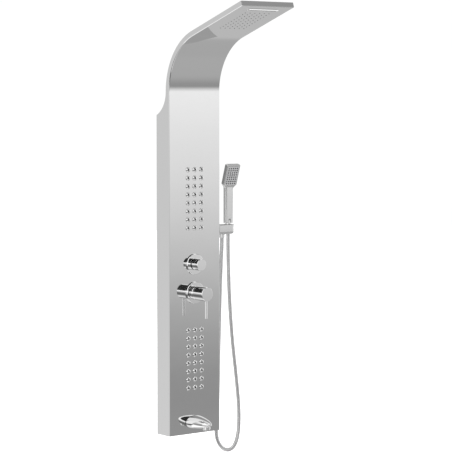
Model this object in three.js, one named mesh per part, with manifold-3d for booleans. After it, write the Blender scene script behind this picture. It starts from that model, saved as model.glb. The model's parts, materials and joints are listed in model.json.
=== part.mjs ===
// Rainfall shower column: a folded, mirror-polished steel panel that hangs on two wall brackets and curves forward
// into a thin rain head. It carries body jets, a rotary diverter, a single-lever mixer, a tub spout and a hand shower
// that rests in a cradle on the right and is fed by a flexible metal hose.
//
// Millimetres, +Z up, +X to the right and -Y forward, away from the wall. The wall is the plane Y = 0, and the origin
// is the middle of the upper wall bracket's back face. Inside this file a place is written as (x, forward, z), with z
// counted from the panel's bottom edge; the column group carries everything down to the origin.
import * as THREE from 'three';
import { mergeVertices } from 'three/addons/utils/BufferGeometryUtils.js';
import Module from 'manifold-3d';

const wasm = await Module();
wasm.setup();
const { PI, sin, cos, acos } = Math;
const rad = THREE.MathUtils.degToRad;

// ---- Driving dimensions -------------------------------------------------------------------------------------------
const GAP = 0.3; // between pieces that touch
const SHEET = 1.5; // folded steel
const PANEL = { width: 220, depth: 71, straight: 1185, corner: 3 };
const BEND = { radius: 195.7, sweep: rad(71) }; // the front face curls forward through this arc
const HEAD = { length: 279.5, thickness: 18 };
const COVE_START = 1105; // where the back leaves the wall
const BRACKET_Z = 1035; // the upper bracket, and the row's origin
const LOWER_BRACKET_Z = 105;
const BRACKET = { width: 160, height: 50, thickness: 3, lip: 6.5 };

const RAIN = { columns: 6, rows: 10, pitchX: 20, pitchAlong: 15.5, first: 80, hole: 1.8 };
const SLOT = { along: 250, length: 130, width: 12, opening: 5, proud: 3.5 };
const JET = { columns: 3, rows: 8, pitch: 28.7, radius: 8.8, proud: 5, upperTop: 917, lowerTop: 362, sides: 8 };
const JET_CHAMBER_DEPTH = 16;

const DIVERTER = { z: 590, plate: 36.5, knob: 20.25, front: 40, back: 9 };
const MIXER = { z: 491, plate: 38.5, handle: 24.5, front: 72, back: 17, pivot: 4 };
const LEVER = { radius: 5, at: 64, length: 60 };
const SPOUT = {
  z: 40, halfWidth: 40, reach: 89, halfHeight: 23, taper: 0.3, droop: 1, aerator: 12.5, aeratorAt: 64,
};

const HOLDER = { forward: 49, outlet: 137, seat: 164.7, radius: 21, bottom: 687, top: 720, neck: 703 };
const HANDLE = { width: 33, depth: 18, corner: 5, bottom: 726, length: 126 };
const SPRAY = { width: 58, length: 88, thickness: 15, tilt: rad(18), columns: 5, rows: 8, pitchX: 9, pitchZ: 8 };
const HOSE_RADIUS = 7;
const FEED_RADIUS = 5.5;

// ---- Materials ----------------------------------------------------------------------------------------------------
const finish = (color, roughness, metalness) => new THREE.MeshStandardMaterial({ color, roughness, metalness });
const STEEL = finish(0xd2d3d4, 0.12, 1);
const CHROME = finish(0xe0e2e4, 0.05, 1);
const ZINC = finish(0xa9adb0, 0.45, 1);
const BRASS = finish(0xc2a25a, 0.35, 1);
const PLASTIC = finish(0xe6e6e2, 0.5, 0);
const GREY_PLASTIC = finish(0xa8a9aa, 0.4, 0);
const RUBBER = finish(0x2b2c2e, 0.7, 0);

// ---- Shape helpers ------------------------------------------------------------------------------------------------
const at = (x, forward, z) => new THREE.Vector3(x, -forward, z);

function signedVolume(points, faces) {
  const corner = (i) => new THREE.Vector3().fromArray(points, faces[i] * 3);
  let sum = 0;
  for (let i = 0; i < faces.length; i += 3) sum += corner(i).dot(corner(i + 1).cross(corner(i + 2)));
  return sum / 6;
}

// A closed three.js geometry as a solid, with its faces pointing out.
function solid(geometry) {
  geometry.deleteAttribute('normal');
  geometry.deleteAttribute('uv');
  const merged = mergeVertices(geometry, 1e-4);
  const vertProperties = new Float32Array(merged.attributes.position.array);
  const triVerts = new Uint32Array(merged.index.array);
  if (signedVolume(vertProperties, triVerts) < 0) {
    for (let i = 0; i < triVerts.length; i += 3) [triVerts[i], triVerts[i + 1]] = [triVerts[i + 1], triVerts[i]];
  }
  return new wasm.Manifold(new wasm.Mesh({ numProp: 3, vertProperties, triVerts }));
}

const joined = (...solids) => solids.reduce((all, one) => all.add(one));
const cut = (body, ...tools) => tools.reduce((left, tool) => left.subtract(tool), body);
const moved = (body, x, forward, z) => body.translate([x, -forward, z]);
const placed = (body, matrix) => body.transform(matrix.elements);

function block([x0, x1], [f0, f1], [z0, z1]) {
  const box = new THREE.BoxGeometry(x1 - x0, f1 - f0, z1 - z0);
  return solid(box.translate((x0 + x1) / 2, -(f0 + f1) / 2, (z0 + z1) / 2));
}

// A turned piece. Its profile is a list of [radius, distance along the axis], on the axis or closed on itself.
function turned(axis, profile, sides = 22) {
  const lathe = new THREE.LatheGeometry(profile.map(([r, t]) => new THREE.Vector2(r, t)), sides);
  if (axis === 'front') lathe.rotateX(PI);
  if (axis === 'up') lathe.rotateX(PI / 2);
  if (axis === 'right') lathe.rotateZ(-PI / 2);
  return solid(lathe);
}

const rod = (axis, radius, from, to, sides = 18) =>
  turned(axis, [[0, from], [radius, from], [radius, to], [0, to]], sides);
const sleeve = (axis, inner, outer, from, to, sides = 22) =>
  turned(axis, [[inner, from], [outer, from], [outer, to], [inner, to], [inner, from]], sides);

const hexNut = (axis, bore, flats, from, to) => cut(rod(axis, flats, from, to, 6), rod(axis, bore, from - 1, to + 1));

// An outline drawn in (x, z), extruded forward.
function facing(shape, from, to, curveSegments = 6) {
  const slab = new THREE.ExtrudeGeometry(shape, { depth: to - from, bevelEnabled: false, curveSegments });
  return solid(slab.rotateX(PI / 2).translate(0, -from, 0));
}

// An outline drawn in (forward, z), extruded across the width, with its two side faces' edges rounded if asked.
function across(shape, width, { round = 0, curveSegments = 11 } = {}) {
  const options = { depth: width - 2 * round, bevelEnabled: round > 0, bevelThickness: round, bevelSize: round,
    bevelOffset: -round, bevelSegments: 2, curveSegments };
  const basis = new THREE.Matrix4().makeBasis(at(0, 1, 0), at(0, 0, 1), at(-1, 0, 0));
  const slab = new THREE.ExtrudeGeometry(shape, options).translate(0, 0, round - width / 2);
  return solid(slab.applyMatrix4(basis));
}

// An outline drawn in (x, forward), extruded upwards.
function upright(shape, from, to, { round = 0, curveSegments = 8 } = {}) {
  const options = { depth: to - from - 2 * round, bevelEnabled: round > 0, bevelThickness: round, bevelSize: round,
    bevelOffset: -round, bevelSegments: 2, curveSegments };
  const basis = new THREE.Matrix4().makeBasis(at(1, 0, 0), at(0, 1, 0), at(0, 0, 1));
  const slab = new THREE.ExtrudeGeometry(shape, options).translate(0, 0, round + from);
  return solid(slab.applyMatrix4(basis));
}

function polygon(points) {
  return new THREE.Shape(points.map(([u, v]) => new THREE.Vector2(u, v)));
}

function roundedBox(width, height, corner) {
  const [w, h] = [width / 2 - corner, height / 2 - corner];
  const shape = new THREE.Shape();
  shape.absarc(w, h, corner, 0, PI / 2, false);
  shape.absarc(-w, h, corner, PI / 2, PI, false);
  shape.absarc(-w, -h, corner, PI, 1.5 * PI, false);
  shape.absarc(w, -h, corner, 1.5 * PI, 2 * PI, false);
  return shape;
}

// A round bar that follows a smooth curve through the given (x, forward, z) points.
function bar(points, radius, { sides = 8, steps = 12 } = {}) {
  const ring = Array.from({ length: sides }, (_, i) => (2 * PI * i) / sides);
  const section = polygon(ring.map((a) => [radius * cos(a), radius * sin(a)]));
  const extrudePath = new THREE.CatmullRomCurve3(points.map((p) => at(...p)), false, 'centripetal');
  return solid(new THREE.ExtrudeGeometry(section, { steps, bevelEnabled: false, extrudePath }));
}

// Evenly spaced places, centred on zero.
const spread = (count, pitch) => Array.from({ length: count }, (_, i) => (i - (count - 1) / 2) * pitch);

// ---- Scene graph --------------------------------------------------------------------------------------------------
const shower = new THREE.Group();

function group(parent, x, forward, z, turn = 0) {
  const child = new THREE.Group();
  child.position.copy(at(x, forward, z));
  child.rotation.x = turn;
  parent.add(child);
  return child;
}

function add(parent, name, body, material) {
  const { vertProperties, triVerts } = body.getMesh();
  const geometry = new THREE.BufferGeometry();
  geometry.setAttribute('position', new THREE.BufferAttribute(vertProperties, 3));
  geometry.setIndex(new THREE.BufferAttribute(triVerts, 1));
  geometry.computeVertexNormals();
  const mesh = new THREE.Mesh(geometry, material);
  mesh.name = name;
  parent.add(mesh);
}

const column = group(shower, 0, 0, -BRACKET_Z);

// ---- The side view of the panel and head --------------------------------------------------------------------------
const BEND_CENTRE = PANEL.depth + BEND.radius;
const COVE_RISE = PANEL.straight - COVE_START;
const COVE_REACH = PANEL.depth - HEAD.thickness;
const COVE_RADIUS = (COVE_REACH ** 2 + COVE_RISE ** 2) / (2 * COVE_REACH);
const SLOPE = PI / 2 - BEND.sweep;

// The column's outline from the side. Each inset moves one edge into the metal; a negative one moves it out.
function sideView({ front = 0, back = 0, bottom = 0, end = 0 } = {}) {
  const [inner, outer] = [BEND.radius + front, BEND.radius + HEAD.thickness - back];
  const onArc = (radius, along) => [
    BEND_CENTRE - radius * cos(BEND.sweep) + along * cos(SLOPE),
    PANEL.straight + radius * sin(BEND.sweep) + along * sin(SLOPE),
  ];
  const cove = COVE_RADIUS + back;
  const coveCentre = COVE_REACH - COVE_RADIUS;
  const coveFrom = -acos((back - coveCentre) / cove);
  const shape = new THREE.Shape();
  shape.moveTo(back, bottom);
  shape.lineTo(back, PANEL.straight + cove * sin(coveFrom));
  shape.absarc(coveCentre, PANEL.straight, cove, coveFrom, 0, false);
  shape.absarc(BEND_CENTRE, PANEL.straight, outer, PI, PI - BEND.sweep, true);
  shape.lineTo(...onArc(outer, HEAD.length - end));
  shape.lineTo(...onArc(inner, HEAD.length - end));
  shape.absarc(BEND_CENTRE, PANEL.straight, inner, PI - BEND.sweep, PI, false);
  shape.lineTo(PANEL.depth - front, bottom);
  return shape;
}

// The head's own frame starts where the arc ends on the underside: forward runs along the head and z away from it.
const HEAD_AT = [
  0,
  BEND_CENTRE - BEND.radius * cos(BEND.sweep),
  PANEL.straight + BEND.radius * sin(BEND.sweep),
];
const head = group(column, ...HEAD_AT, -SLOPE);
head.updateMatrix();

// ---- Panel --------------------------------------------------------------------------------------------------------
const jetCentre = (top) => top - ((JET.rows - 1) * JET.pitch) / 2;
const jetPlaces = (top) => spread(JET.columns, JET.pitch).flatMap((x) =>
  spread(JET.rows, JET.pitch).map((z) => [x, jetCentre(top) + z]));

function slotOutline(length, width) {
  return roundedBox(length, width, width / 2 - 0.01);
}

function frontShell() {
  const spare = 12;
  const plain = across(sideView(), PANEL.width);
  const rounded = across(sideView({ back: -spare, bottom: -spare, end: -spare }), PANEL.width,
    { round: PANEL.corner });
  const hollow = across(sideView({ front: SHEET, back: -spare, bottom: SHEET, end: -spare }),
    PANEL.width - 2 * SHEET);
  let shell = cut(plain.intersect(rounded), hollow);
  const [front, behind] = [PANEL.depth + 1, PANEL.depth - SHEET - 1];
  const jetHole = rod('front', JET.radius + GAP, behind, front, JET.sides);
  const jetHoles = [...jetPlaces(JET.upperTop), ...jetPlaces(JET.lowerTop)].map(([x, z]) => moved(jetHole, x, 0, z));
  const throughFront = (radius, z) => moved(rod('front', radius, behind, front), 0, 0, z);
  const outlet = moved(rod('right', 9.6, PANEL.width / 2 - 5, PANEL.width / 2 + 5), 0, HOLDER.forward, HOLDER.neck);
  shell = cut(shell, ...jetHoles, throughFront(16, DIVERTER.z), throughFront(20.5, MIXER.z),
    throughFront(10.4, SPOUT.z), outlet);
  return cut(shell, placed(headHoles(), head.matrix));
}

// The rain holes and the waterfall slot, in the head's frame.
function headHoles() {
  const hole = rod('up', RAIN.hole, -1, SHEET + 1, 5);
  const holes = spread(RAIN.columns, RAIN.pitchX).flatMap((x) =>
    Array.from({ length: RAIN.rows }, (_, row) => moved(hole, x, RAIN.first + row * RAIN.pitchAlong, 0)));
  const slot = upright(slotOutline(SLOT.length - 6, SLOT.width - 3), -1, SHEET + 1, { curveSegments: 4 });
  return joined(moved(slot, 0, SLOT.along, 0), ...holes);
}

// The sheet that closes the head's top and the cove behind it, let in between the side returns.
function headTopCover() {
  const width = PANEL.width - 2 * SHEET - 2 * GAP;
  const skin = cut(across(sideView(), width), across(sideView({ front: -9, back: SHEET, end: -9 }), width + 2));
  return skin.intersect(block([-width, width], [0.5, 600], [COVE_START + 2, 2000]));
}

function headEndCap() {
  const [width, height] = [PANEL.width / 2, HEAD.thickness];
  const plate = block([-width, width], [HEAD.length + GAP, HEAD.length + GAP + SHEET], [0, height]);
  const tab = block([-80, 80], [HEAD.length - 8, HEAD.length + 1], [SHEET + GAP, 2 * SHEET]);
  return joined(plate, tab);
}

// A wall bracket is a plate with a lip that stands off the wall and up; the hanger bar hooks down over that lip.
function wallBracket() {
  const { width, height, thickness, lip } = BRACKET;
  const top = height / 2;
  const profile = polygon([[0, -top], [thickness, -top], [thickness, top - 14], [lip + 2.5, top - 14],
    [lip + 2.5, top], [lip, top], [lip, top - 11.5], [0, top - 11.5]]);
  const holes = [-55, 55].map((x) => moved(rod('front', 3, -1, thickness + 1, 12), x, 0, -6));
  return cut(across(profile, width), ...holes);
}

function hangerBar() {
  const top = BRACKET.height / 2;
  const near = BRACKET.lip + 2.5 + GAP;
  const profile = polygon([[near, top - 34], [near + 2, top - 34], [near + 2, top + GAP + 2], [3.4, top + GAP + 2],
    [3.4, top - 8], [BRACKET.lip - GAP, top - 8], [BRACKET.lip - GAP, top + GAP], [near, top + GAP]]);
  return across(profile, PANEL.width - 2 * SHEET - 2 * GAP);
}

function rearBrace() {
  const profile = polygon([[1, 0], [12, 0], [12, 2], [3, 2], [3, 26], [12, 26], [12, 28], [1, 28]]);
  return across(profile, PANEL.width - 2 * SHEET - 2 * GAP);
}

add(column, 'front_shell', frontShell(), STEEL);
add(column, 'head_top_cover', headTopCover(), STEEL);
add(head, 'head_end_cap', headEndCap(), STEEL);
const upperHang = group(column, 0, 0, BRACKET_Z);
const lowerHang = group(column, 0, 0, LOWER_BRACKET_Z);
add(upperHang, 'upper_wall_bracket', wallBracket(), ZINC);
add(upperHang, 'upper_hanger_bar', hangerBar(), ZINC);
add(lowerHang, 'lower_wall_bracket', wallBracket(), ZINC);
add(lowerHang, 'lower_hanger_bar', hangerBar(), ZINC);
add(group(column, 0, 0, 408), 'rear_brace', rearBrace(), ZINC);

// ---- Rain head and waterfall --------------------------------------------------------------------------------------
const RAIN_END = RAIN.first + (RAIN.rows - 1) * RAIN.pitchAlong;
const RAIN_BOX = { x: 62, from: RAIN.first - 13, to: RAIN_END + 10, floor: SHEET + GAP, top: 14 };
const FALL_BOX = { x: 84, from: SLOT.along - 13, to: SLOT.along + 13, top: 14 };
const HEAD_FEED_Z = 8.6; // above the underside, in the head

// A tray that is open below, towards the sheet, with a feed spigot on its rear edge.
function tray({ x, from, to, floor, top }, wall, spigotX) {
  const shell = cut(block([-x, x], [from, to], [floor, top]),
    block([wall - x, x - wall], [from + wall, to - wall], [floor - 1, top - wall]));
  const bore = moved(rod('front', 3, from - 10, from + 4, 12), spigotX, 0, HEAD_FEED_Z);
  return cut(joined(shell, moved(rod('front', 4.6, from - 8, from + 0.5, 12), spigotX, 0, HEAD_FEED_Z)), bore);
}

function frame(halfX, from, to, border, low, high) {
  return cut(block([-halfX, halfX], [from, to], [low, high]),
    block([border - halfX, halfX - border], [from + border, to - border], [low - 1, high + 1]));
}

function waterfallLip() {
  const { length, width, opening, proud } = SLOT;
  const flange = upright(slotOutline(length, width), -proud, -GAP, { curveSegments: 5 });
  const neck = upright(slotOutline(length - 8, width - 4.4), -1, 6, { curveSegments: 4 });
  const mouth = upright(slotOutline(length - 14, opening - 0.6), -proud - 1, 8, { curveSegments: 3 });
  return moved(cut(joined(flange, neck), mouth), 0, SLOT.along, 0);
}

const rainTray = { ...RAIN_BOX, floor: RAIN_BOX.floor + 1 + GAP };
add(head, 'rain_gasket', frame(RAIN_BOX.x, RAIN_BOX.from, RAIN_BOX.to, 6, RAIN_BOX.floor, RAIN_BOX.floor + 1), RUBBER);
add(head, 'rain_chamber', tray(rainTray, 1.6, -40), PLASTIC);
add(head, 'waterfall_chamber', tray({ ...FALL_BOX, floor: SHEET + GAP }, 1.6, 76), PLASTIC);
add(head, 'waterfall_lip', waterfallLip(), CHROME);

// ---- Body jets ----------------------------------------------------------------------------------------------------
// One moulded mat holds a group's nozzles; the water chamber closes it from behind.
const MAT_FRONT = PANEL.depth - SHEET - GAP;
const MAT_THICKNESS = 2.5;
const MAT_MARGIN = 12;
const matHalf = { x: JET.pitch + MAT_MARGIN, z: ((JET.rows - 1) * JET.pitch) / 2 + MAT_MARGIN };

function jetMat() {
  const backing = block([-matHalf.x, matHalf.x], [MAT_FRONT - MAT_THICKNESS, MAT_FRONT], [-matHalf.z, matHalf.z]);
  const { radius, proud } = JET;
  const tip = PANEL.depth + proud;
  const nozzle = turned('front', [[0, MAT_FRONT - 1], [radius, MAT_FRONT - 1], [radius, tip - 1.8],
    [radius - 3, tip], [0, tip]], JET.sides);
  const nozzles = spread(JET.columns, JET.pitch).flatMap((x) =>
    spread(JET.rows, JET.pitch).map((z) => moved(nozzle, x, 0, z)));
  return joined(backing, ...nozzles);
}

function jetChamber(spigots) {
  const [x, z, wall] = [matHalf.x + 2, matHalf.z + 2, 2];
  const front = MAT_FRONT - MAT_THICKNESS - GAP;
  const back = front - JET_CHAMBER_DEPTH;
  const shell = cut(block([-x, x], [back, front], [-z, z]),
    block([wall - x, x - wall], [back + wall, front + 1], [wall - z, z - wall]));
  const stubs = spigots.map(([at_x, end]) => moved(end > 0
    ? rod('up', FEED_RADIUS, z - 0.5, z + 8, 12) : rod('up', FEED_RADIUS, -z - 8, -z + 0.5, 12),
  at_x, front - JET_CHAMBER_DEPTH / 2, 0));
  return joined(shell, ...stubs);
}

const FEED_DEPTH = MAT_FRONT - MAT_THICKNESS - GAP - JET_CHAMBER_DEPTH / 2;
const upperJets = group(column, 0, 0, jetCentre(JET.upperTop));
const lowerJets = group(column, 0, 0, jetCentre(JET.lowerTop));
add(upperJets, 'upper_jet_mat', jetMat(), CHROME);
add(upperJets, 'upper_jet_chamber', jetChamber([[0, -1], [-30, -1]]), PLASTIC);
add(lowerJets, 'lower_jet_mat', jetMat(), CHROME);
add(lowerJets, 'lower_jet_chamber', jetChamber([[-30, 1]]), PLASTIC);

// ---- Diverter -----------------------------------------------------------------------------------------------------
// In a valve's own frame forward is counted from the panel's front face.
const SPIGOT = { radius: 6.5, length: 10 };
const DIVERTER_BODY = { x: 24, z: 34, back: -50, front: -6, spigotZ: 22, spigotDepth: -31 };

function diverterBody() {
  const { x, z, back, front, spigotZ, spigotDepth } = DIVERTER_BODY;
  const across_ = [-1, 1].flatMap((side) => [-spigotZ, spigotZ].map((height) => moved(side > 0
    ? rod('right', SPIGOT.radius, x - 1, x + SPIGOT.length, 12)
    : rod('right', SPIGOT.radius, -x - SPIGOT.length, 1 - x, 12), 0, spigotDepth, height)));
  const up = moved(rod('up', SPIGOT.radius, z - 1, z + SPIGOT.length, 12), 0, spigotDepth, 0);
  const shell = joined(block([-x, x], [back, front], [-z, z]), rod('front', 15, front - 1, 9), up, ...across_);
  return cut(shell, rod('front', 12, -30, 10), rod('front', 5, -51, -29));
}

const diverterCartridge = () => turned('front', [[0, -29.5], [11.7, -29.5], [11.7, 8.7], [8, 8.7], [8, 16],
  [4.4, 16], [4.4, 2], [0, 2]], 24);
const diverterBonnet = () => turned('front', [[15.3, 2], [17, 2], [17, 11], [15, 13], [8.3, 13], [8.3, 9.3],
  [15.3, 9.3], [15.3, 2]]);
const escutcheon = (outer, inner, height) => turned('front', [[inner, GAP], [outer, GAP], [outer, 2.2],
  [outer - 3, height - 1.2], [outer - 10, height], [inner, height], [inner, GAP]], 30);

function diverterKnob() {
  const { knob, front, back } = DIVERTER;
  const shell = turned('front', [[0, 31], [4.3, 31], [4.3, 20], [knob - 2, 20], [knob - 2, back], [knob, back],
    [knob, front - 1], [knob - 1, front], [0, front]], 28);
  return cut(shell, moved(rod('up', 2.3, -knob - 1, -4, 12), 0, 26, 0));
}

const diverter = group(column, 0, PANEL.depth, DIVERTER.z);
add(diverter, 'diverter_body', diverterBody(), BRASS);
add(diverter, 'diverter_cartridge', diverterCartridge(), PLASTIC);
add(diverter, 'diverter_bonnet', diverterBonnet(), BRASS);
add(diverter, 'diverter_escutcheon', escutcheon(DIVERTER.plate, 17.4, 5.5), CHROME);
add(diverter, 'diverter_spindle', rod('front', 4, 2.3, 30.6, 16), BRASS);
add(diverter, 'diverter_knob', diverterKnob(), CHROME);
add(diverter, 'diverter_grub_screw', moved(rod('up', 2, -17, -4.4, 10), 0, 26, 0), ZINC);

// ---- Mixer --------------------------------------------------------------------------------------------------------
const MIXER_BODY = { x: 26, z: 27, back: -50, front: -6, legX: 34, legEnd: -62, barEnd: 46 };

function mixerBody() {
  const { x, z, back, front, legX, legEnd, barEnd } = MIXER_BODY;
  const depth = DIVERTER_BODY.spigotDepth;
  const bar_ = moved(rod('right', 13, -barEnd, barEnd, 20), 0, depth, 0);
  const legs = [-legX, legX].map((at_x) => moved(rod('up', 12, legEnd + 30, 0, 20), at_x, depth, 0));
  const up = moved(rod('up', 8, z - 1, z + 8, 16), 0, depth, 0);
  const shell = joined(block([-x, x], [back, front], [-z, z]), rod('front', 20, front - 1, 6), bar_, up, ...legs);
  const ways = [-legX, legX].map((at_x) => moved(rod('up', 7.5, legEnd + 29, -8, 16), at_x, depth, 0));
  return cut(shell, rod('front', 17, -38, 7), ...ways);
}

const mixerCartridge = () => turned('front', [[0, -37.5], [16.7, -37.5], [16.7, 5.7], [14, 5.7], [14, 9.6],
  [10.4, 9.6], [10.4, -8.4], [0, -8.4]]);
const retainingNut = () => turned('front', [[20.3, GAP], [22, GAP], [22, 9.7], [14.3, 9.7], [14.3, 6.3],
  [20.3, 6.3], [20.3, GAP]]);
// The shroud's skirt hides the nut down to the escutcheon.
const mixerShroud = () => turned('front', [[13.2, 10], [22.3, 10], [22.3, 6.4], [24, 6.4], [24, 13],
  [22.4, 14.6], [13.2, 14.6], [13.2, 10]]);

// The carrier turns in the cartridge and holds the stem in a slot, so that the stem can tilt up and down on its pin.
function mixerCarrier() {
  const disc = rod('front', 10.1, -8.1, 9.3);
  return cut(disc, block([-4.4, 4.4], [-3, 10], [-12, 12]), moved(rod('right', 1.8, -12, 12, 12), 0, MIXER.pivot, 0));
}

const mixerStem = () => cut(rod('front', 4, -1.5, 40.6, 16),
  moved(rod('right', 1.8, -6, 6, 12), 0, MIXER.pivot, 0));

function mixerHandle() {
  const { handle, front, back } = MIXER;
  const shell = turned('front', [[0, 41], [4.3, 41], [4.3, 27], [22.4, 27], [22.4, back], [handle, back],
    [handle, front - 1], [handle - 1, front], [0, front]], 28);
  const screwHole = moved(rod('up', 2.3, -handle - 1, -4, 12), 0, 34, 0);
  const leverHole = moved(rod('up', 3.3, -handle - 1, -12, 12), 0, LEVER.at, 0);
  return cut(shell, screwHole, leverHole);
}

function mixerLever() {
  const top = -MIXER.handle - GAP;
  const end = top - LEVER.length;
  return moved(turned('up', [[0, end], [LEVER.radius - 0.8, end], [LEVER.radius, end + 0.8], [LEVER.radius, top],
    [3, top], [3, -13], [0, -13]], 20), 0, LEVER.at, 0);
}

function inletTail() {
  const top = MIXER_BODY.legEnd + 30 - GAP;
  return sleeve('up', 7, 10.4, top - 30, top, 24);
}

const mixer = group(column, 0, PANEL.depth, MIXER.z);
add(mixer, 'mixer_body', mixerBody(), BRASS);
add(mixer, 'mixer_cartridge', mixerCartridge(), PLASTIC);
add(mixer, 'mixer_retaining_nut', retainingNut(), BRASS);
add(mixer, 'mixer_shroud', mixerShroud(), CHROME);
add(mixer, 'mixer_escutcheon', escutcheon(MIXER.plate, 22.4, 6), CHROME);
add(mixer, 'mixer_carrier', mixerCarrier(), PLASTIC);
add(mixer, 'mixer_stem_pin', moved(rod('right', 1.5, -8.5, 8.5, 10), 0, MIXER.pivot, 0), ZINC);
add(mixer, 'mixer_stem', mixerStem(), BRASS);
add(mixer, 'mixer_handle', mixerHandle(), CHROME);
add(mixer, 'mixer_grub_screw', moved(rod('up', 2, -20, -4.4, 10), 0, 34, 0), ZINC);
add(mixer, 'mixer_lever', mixerLever(), CHROME);
[['cold_inlet_tail', MIXER_BODY.legX], ['hot_inlet_tail', -MIXER_BODY.legX]].forEach(([name, x]) =>
  add(mixer, name, moved(inletTail(), x, DIVERTER_BODY.spigotDepth, 0), BRASS));
add(mixer, 'mixed_water_link', moved(sleeve('up', 5, 7.5, MIXER_BODY.z + 8 + GAP,
  DIVERTER.z - MIXER.z - DIVERTER_BODY.z - GAP, 16), 0, DIVERTER_BODY.spigotDepth, 0), BRASS);

// ---- Tub spout ----------------------------------------------------------------------------------------------------
const SPOUT_BACK = 1.6; // clear of the gasket
const SPOUT_TAIL = { radius: 10, from: -20 };

// The spout is half of a flat ellipsoid that narrows and sinks a little towards its nose.
function spoutForm() {
  const ball = new THREE.SphereGeometry(1, 24, 12);
  ball.scale(SPOUT.halfWidth, SPOUT.reach, SPOUT.halfHeight);
  const place = ball.attributes.position;
  for (let i = 0; i < place.count; i += 1) {
    const forward = Math.max(0, -place.getY(i)) / SPOUT.reach;
    const narrowing = 1 - SPOUT.taper * forward;
    place.setX(i, place.getX(i) * narrowing);
    place.setZ(i, place.getZ(i) * narrowing - SPOUT.droop * forward ** 2);
  }
  return solid(ball).intersect(block([-90, 90], [SPOUT_BACK, 120], [-60, 60]));
}

function spoutBody() {
  const nose = moved(rod('up', SPOUT.aerator + 2, -17.2, 0), 0, SPOUT.aeratorAt, 0);
  const recess = moved(rod('up', SPOUT.aerator + GAP, -30, -6.2), 0, SPOUT.aeratorAt, 0);
  const tail = rod('front', SPOUT_TAIL.radius, SPOUT_TAIL.from, SPOUT_BACK + 4);
  return cut(joined(spoutForm(), nose, tail), recess);
}

const spout = group(column, 0, PANEL.depth, SPOUT.z);
add(spout, 'spout_body', spoutBody(), CHROME);
add(spout, 'spout_aerator', moved(sleeve('up', 6, SPOUT.aerator, -19.7, -6.8, 24), 0, SPOUT.aeratorAt, 0), CHROME);
add(spout, 'spout_gasket', cut(facing(slotOutline(64, 28), GAP, SPOUT_BACK - GAP),
  rod('front', 10.4, -2, 3)), RUBBER);
add(spout, 'spout_lock_nut', hexNut('front', 10.5, 17, -8, -SHEET - GAP), BRASS);

// ---- Hand-shower cradle and water outlet --------------------------------------------------------------------------
const SEAT = { topRadius: 13.6, bottomRadius: 10, slot: 16, liner: 1.2, flange: 1.4 };

// The bar's plan: square against the panel's side and round at its outer end.
function barPlan(from, radius) {
  const shape = new THREE.Shape();
  shape.moveTo(from, -radius);
  shape.lineTo(HOLDER.seat, -radius);
  shape.absarc(HOLDER.seat, 0, radius, -PI / 2, PI / 2, false);
  shape.lineTo(from, radius);
  shape.closePath();
  return shape;
}

// The conical seat and, at the bar's outer end, the slot that the hose is slipped in through.
function seatCut(inset) {
  const [low, high] = [HOLDER.bottom - 1, HOLDER.top + 1 + SEAT.flange];
  const cone = turned('up', [[0, low], [SEAT.bottomRadius - inset, low], [SEAT.topRadius - inset, high], [0, high]]);
  const slot = block([0, HOLDER.radius + 5], [-SEAT.slot / 2 + inset, SEAT.slot / 2 - inset], [low, high]);
  return moved(joined(cone, slot), HOLDER.seat, 0, 0);
}

const PANEL_SIDE = PANEL.width / 2;

function handsetCradle() {
  const plan = barPlan(PANEL_SIDE - 12, HOLDER.radius);
  const middle = (HOLDER.bottom + HOLDER.top) / 2;
  const outside = block([PANEL_SIDE + GAP, HOLDER.seat + 30], [-30, 30], [HOLDER.bottom - 1, HOLDER.top + 1]);
  const body = joined(upright(plan, HOLDER.bottom, HOLDER.top - 2, { round: 7 }), upright(plan, middle, HOLDER.top))
    .intersect(outside);
  const tail = moved(rod('right', 9, PANEL_SIDE - 15, HOLDER.outlet, 20), 0, 0, HOLDER.neck);
  return cut(joined(body, tail), seatCut(0));
}

function cradleLiner() {
  const flange = upright(barPlan(PANEL_SIDE + 1, HOLDER.radius - 0.8), HOLDER.top + GAP, HOLDER.top + SEAT.flange);
  const cone = turned('up', [[0, HOLDER.bottom + 1], [SEAT.bottomRadius + 0.2 - GAP, HOLDER.bottom + 1],
    [SEAT.topRadius - 0.2 - GAP, HOLDER.top + 0.6], [0, HOLDER.top + 0.6]]);
  return cut(joined(flange, moved(cone, HOLDER.seat, 0, 0)), seatCut(SEAT.liner));
}

const holder = group(column, 0, HOLDER.forward, 0);
add(holder, 'handset_cradle', handsetCradle(), CHROME);
add(holder, 'cradle_liner', cradleLiner(), RUBBER);
const nutFace = PANEL_SIDE - SHEET - GAP;
add(holder, 'cradle_lock_nut', moved(hexNut('right', 9.5, 15.5, nutFace - 6, nutFace), 0, 0, HOLDER.neck), BRASS);
const NUT = { radius: 9.8, bottom: HOLDER.bottom - 13, top: HOLDER.bottom - 0.3 };
add(holder, 'hose_outlet_nut', moved(turned('up', [[0, NUT.bottom], [NUT.radius - 1.2, NUT.bottom],
  [NUT.radius, NUT.bottom + 1.2], [NUT.radius, NUT.top], [0, NUT.top]], 20), HOLDER.outlet, 0, 0), CHROME);

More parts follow.
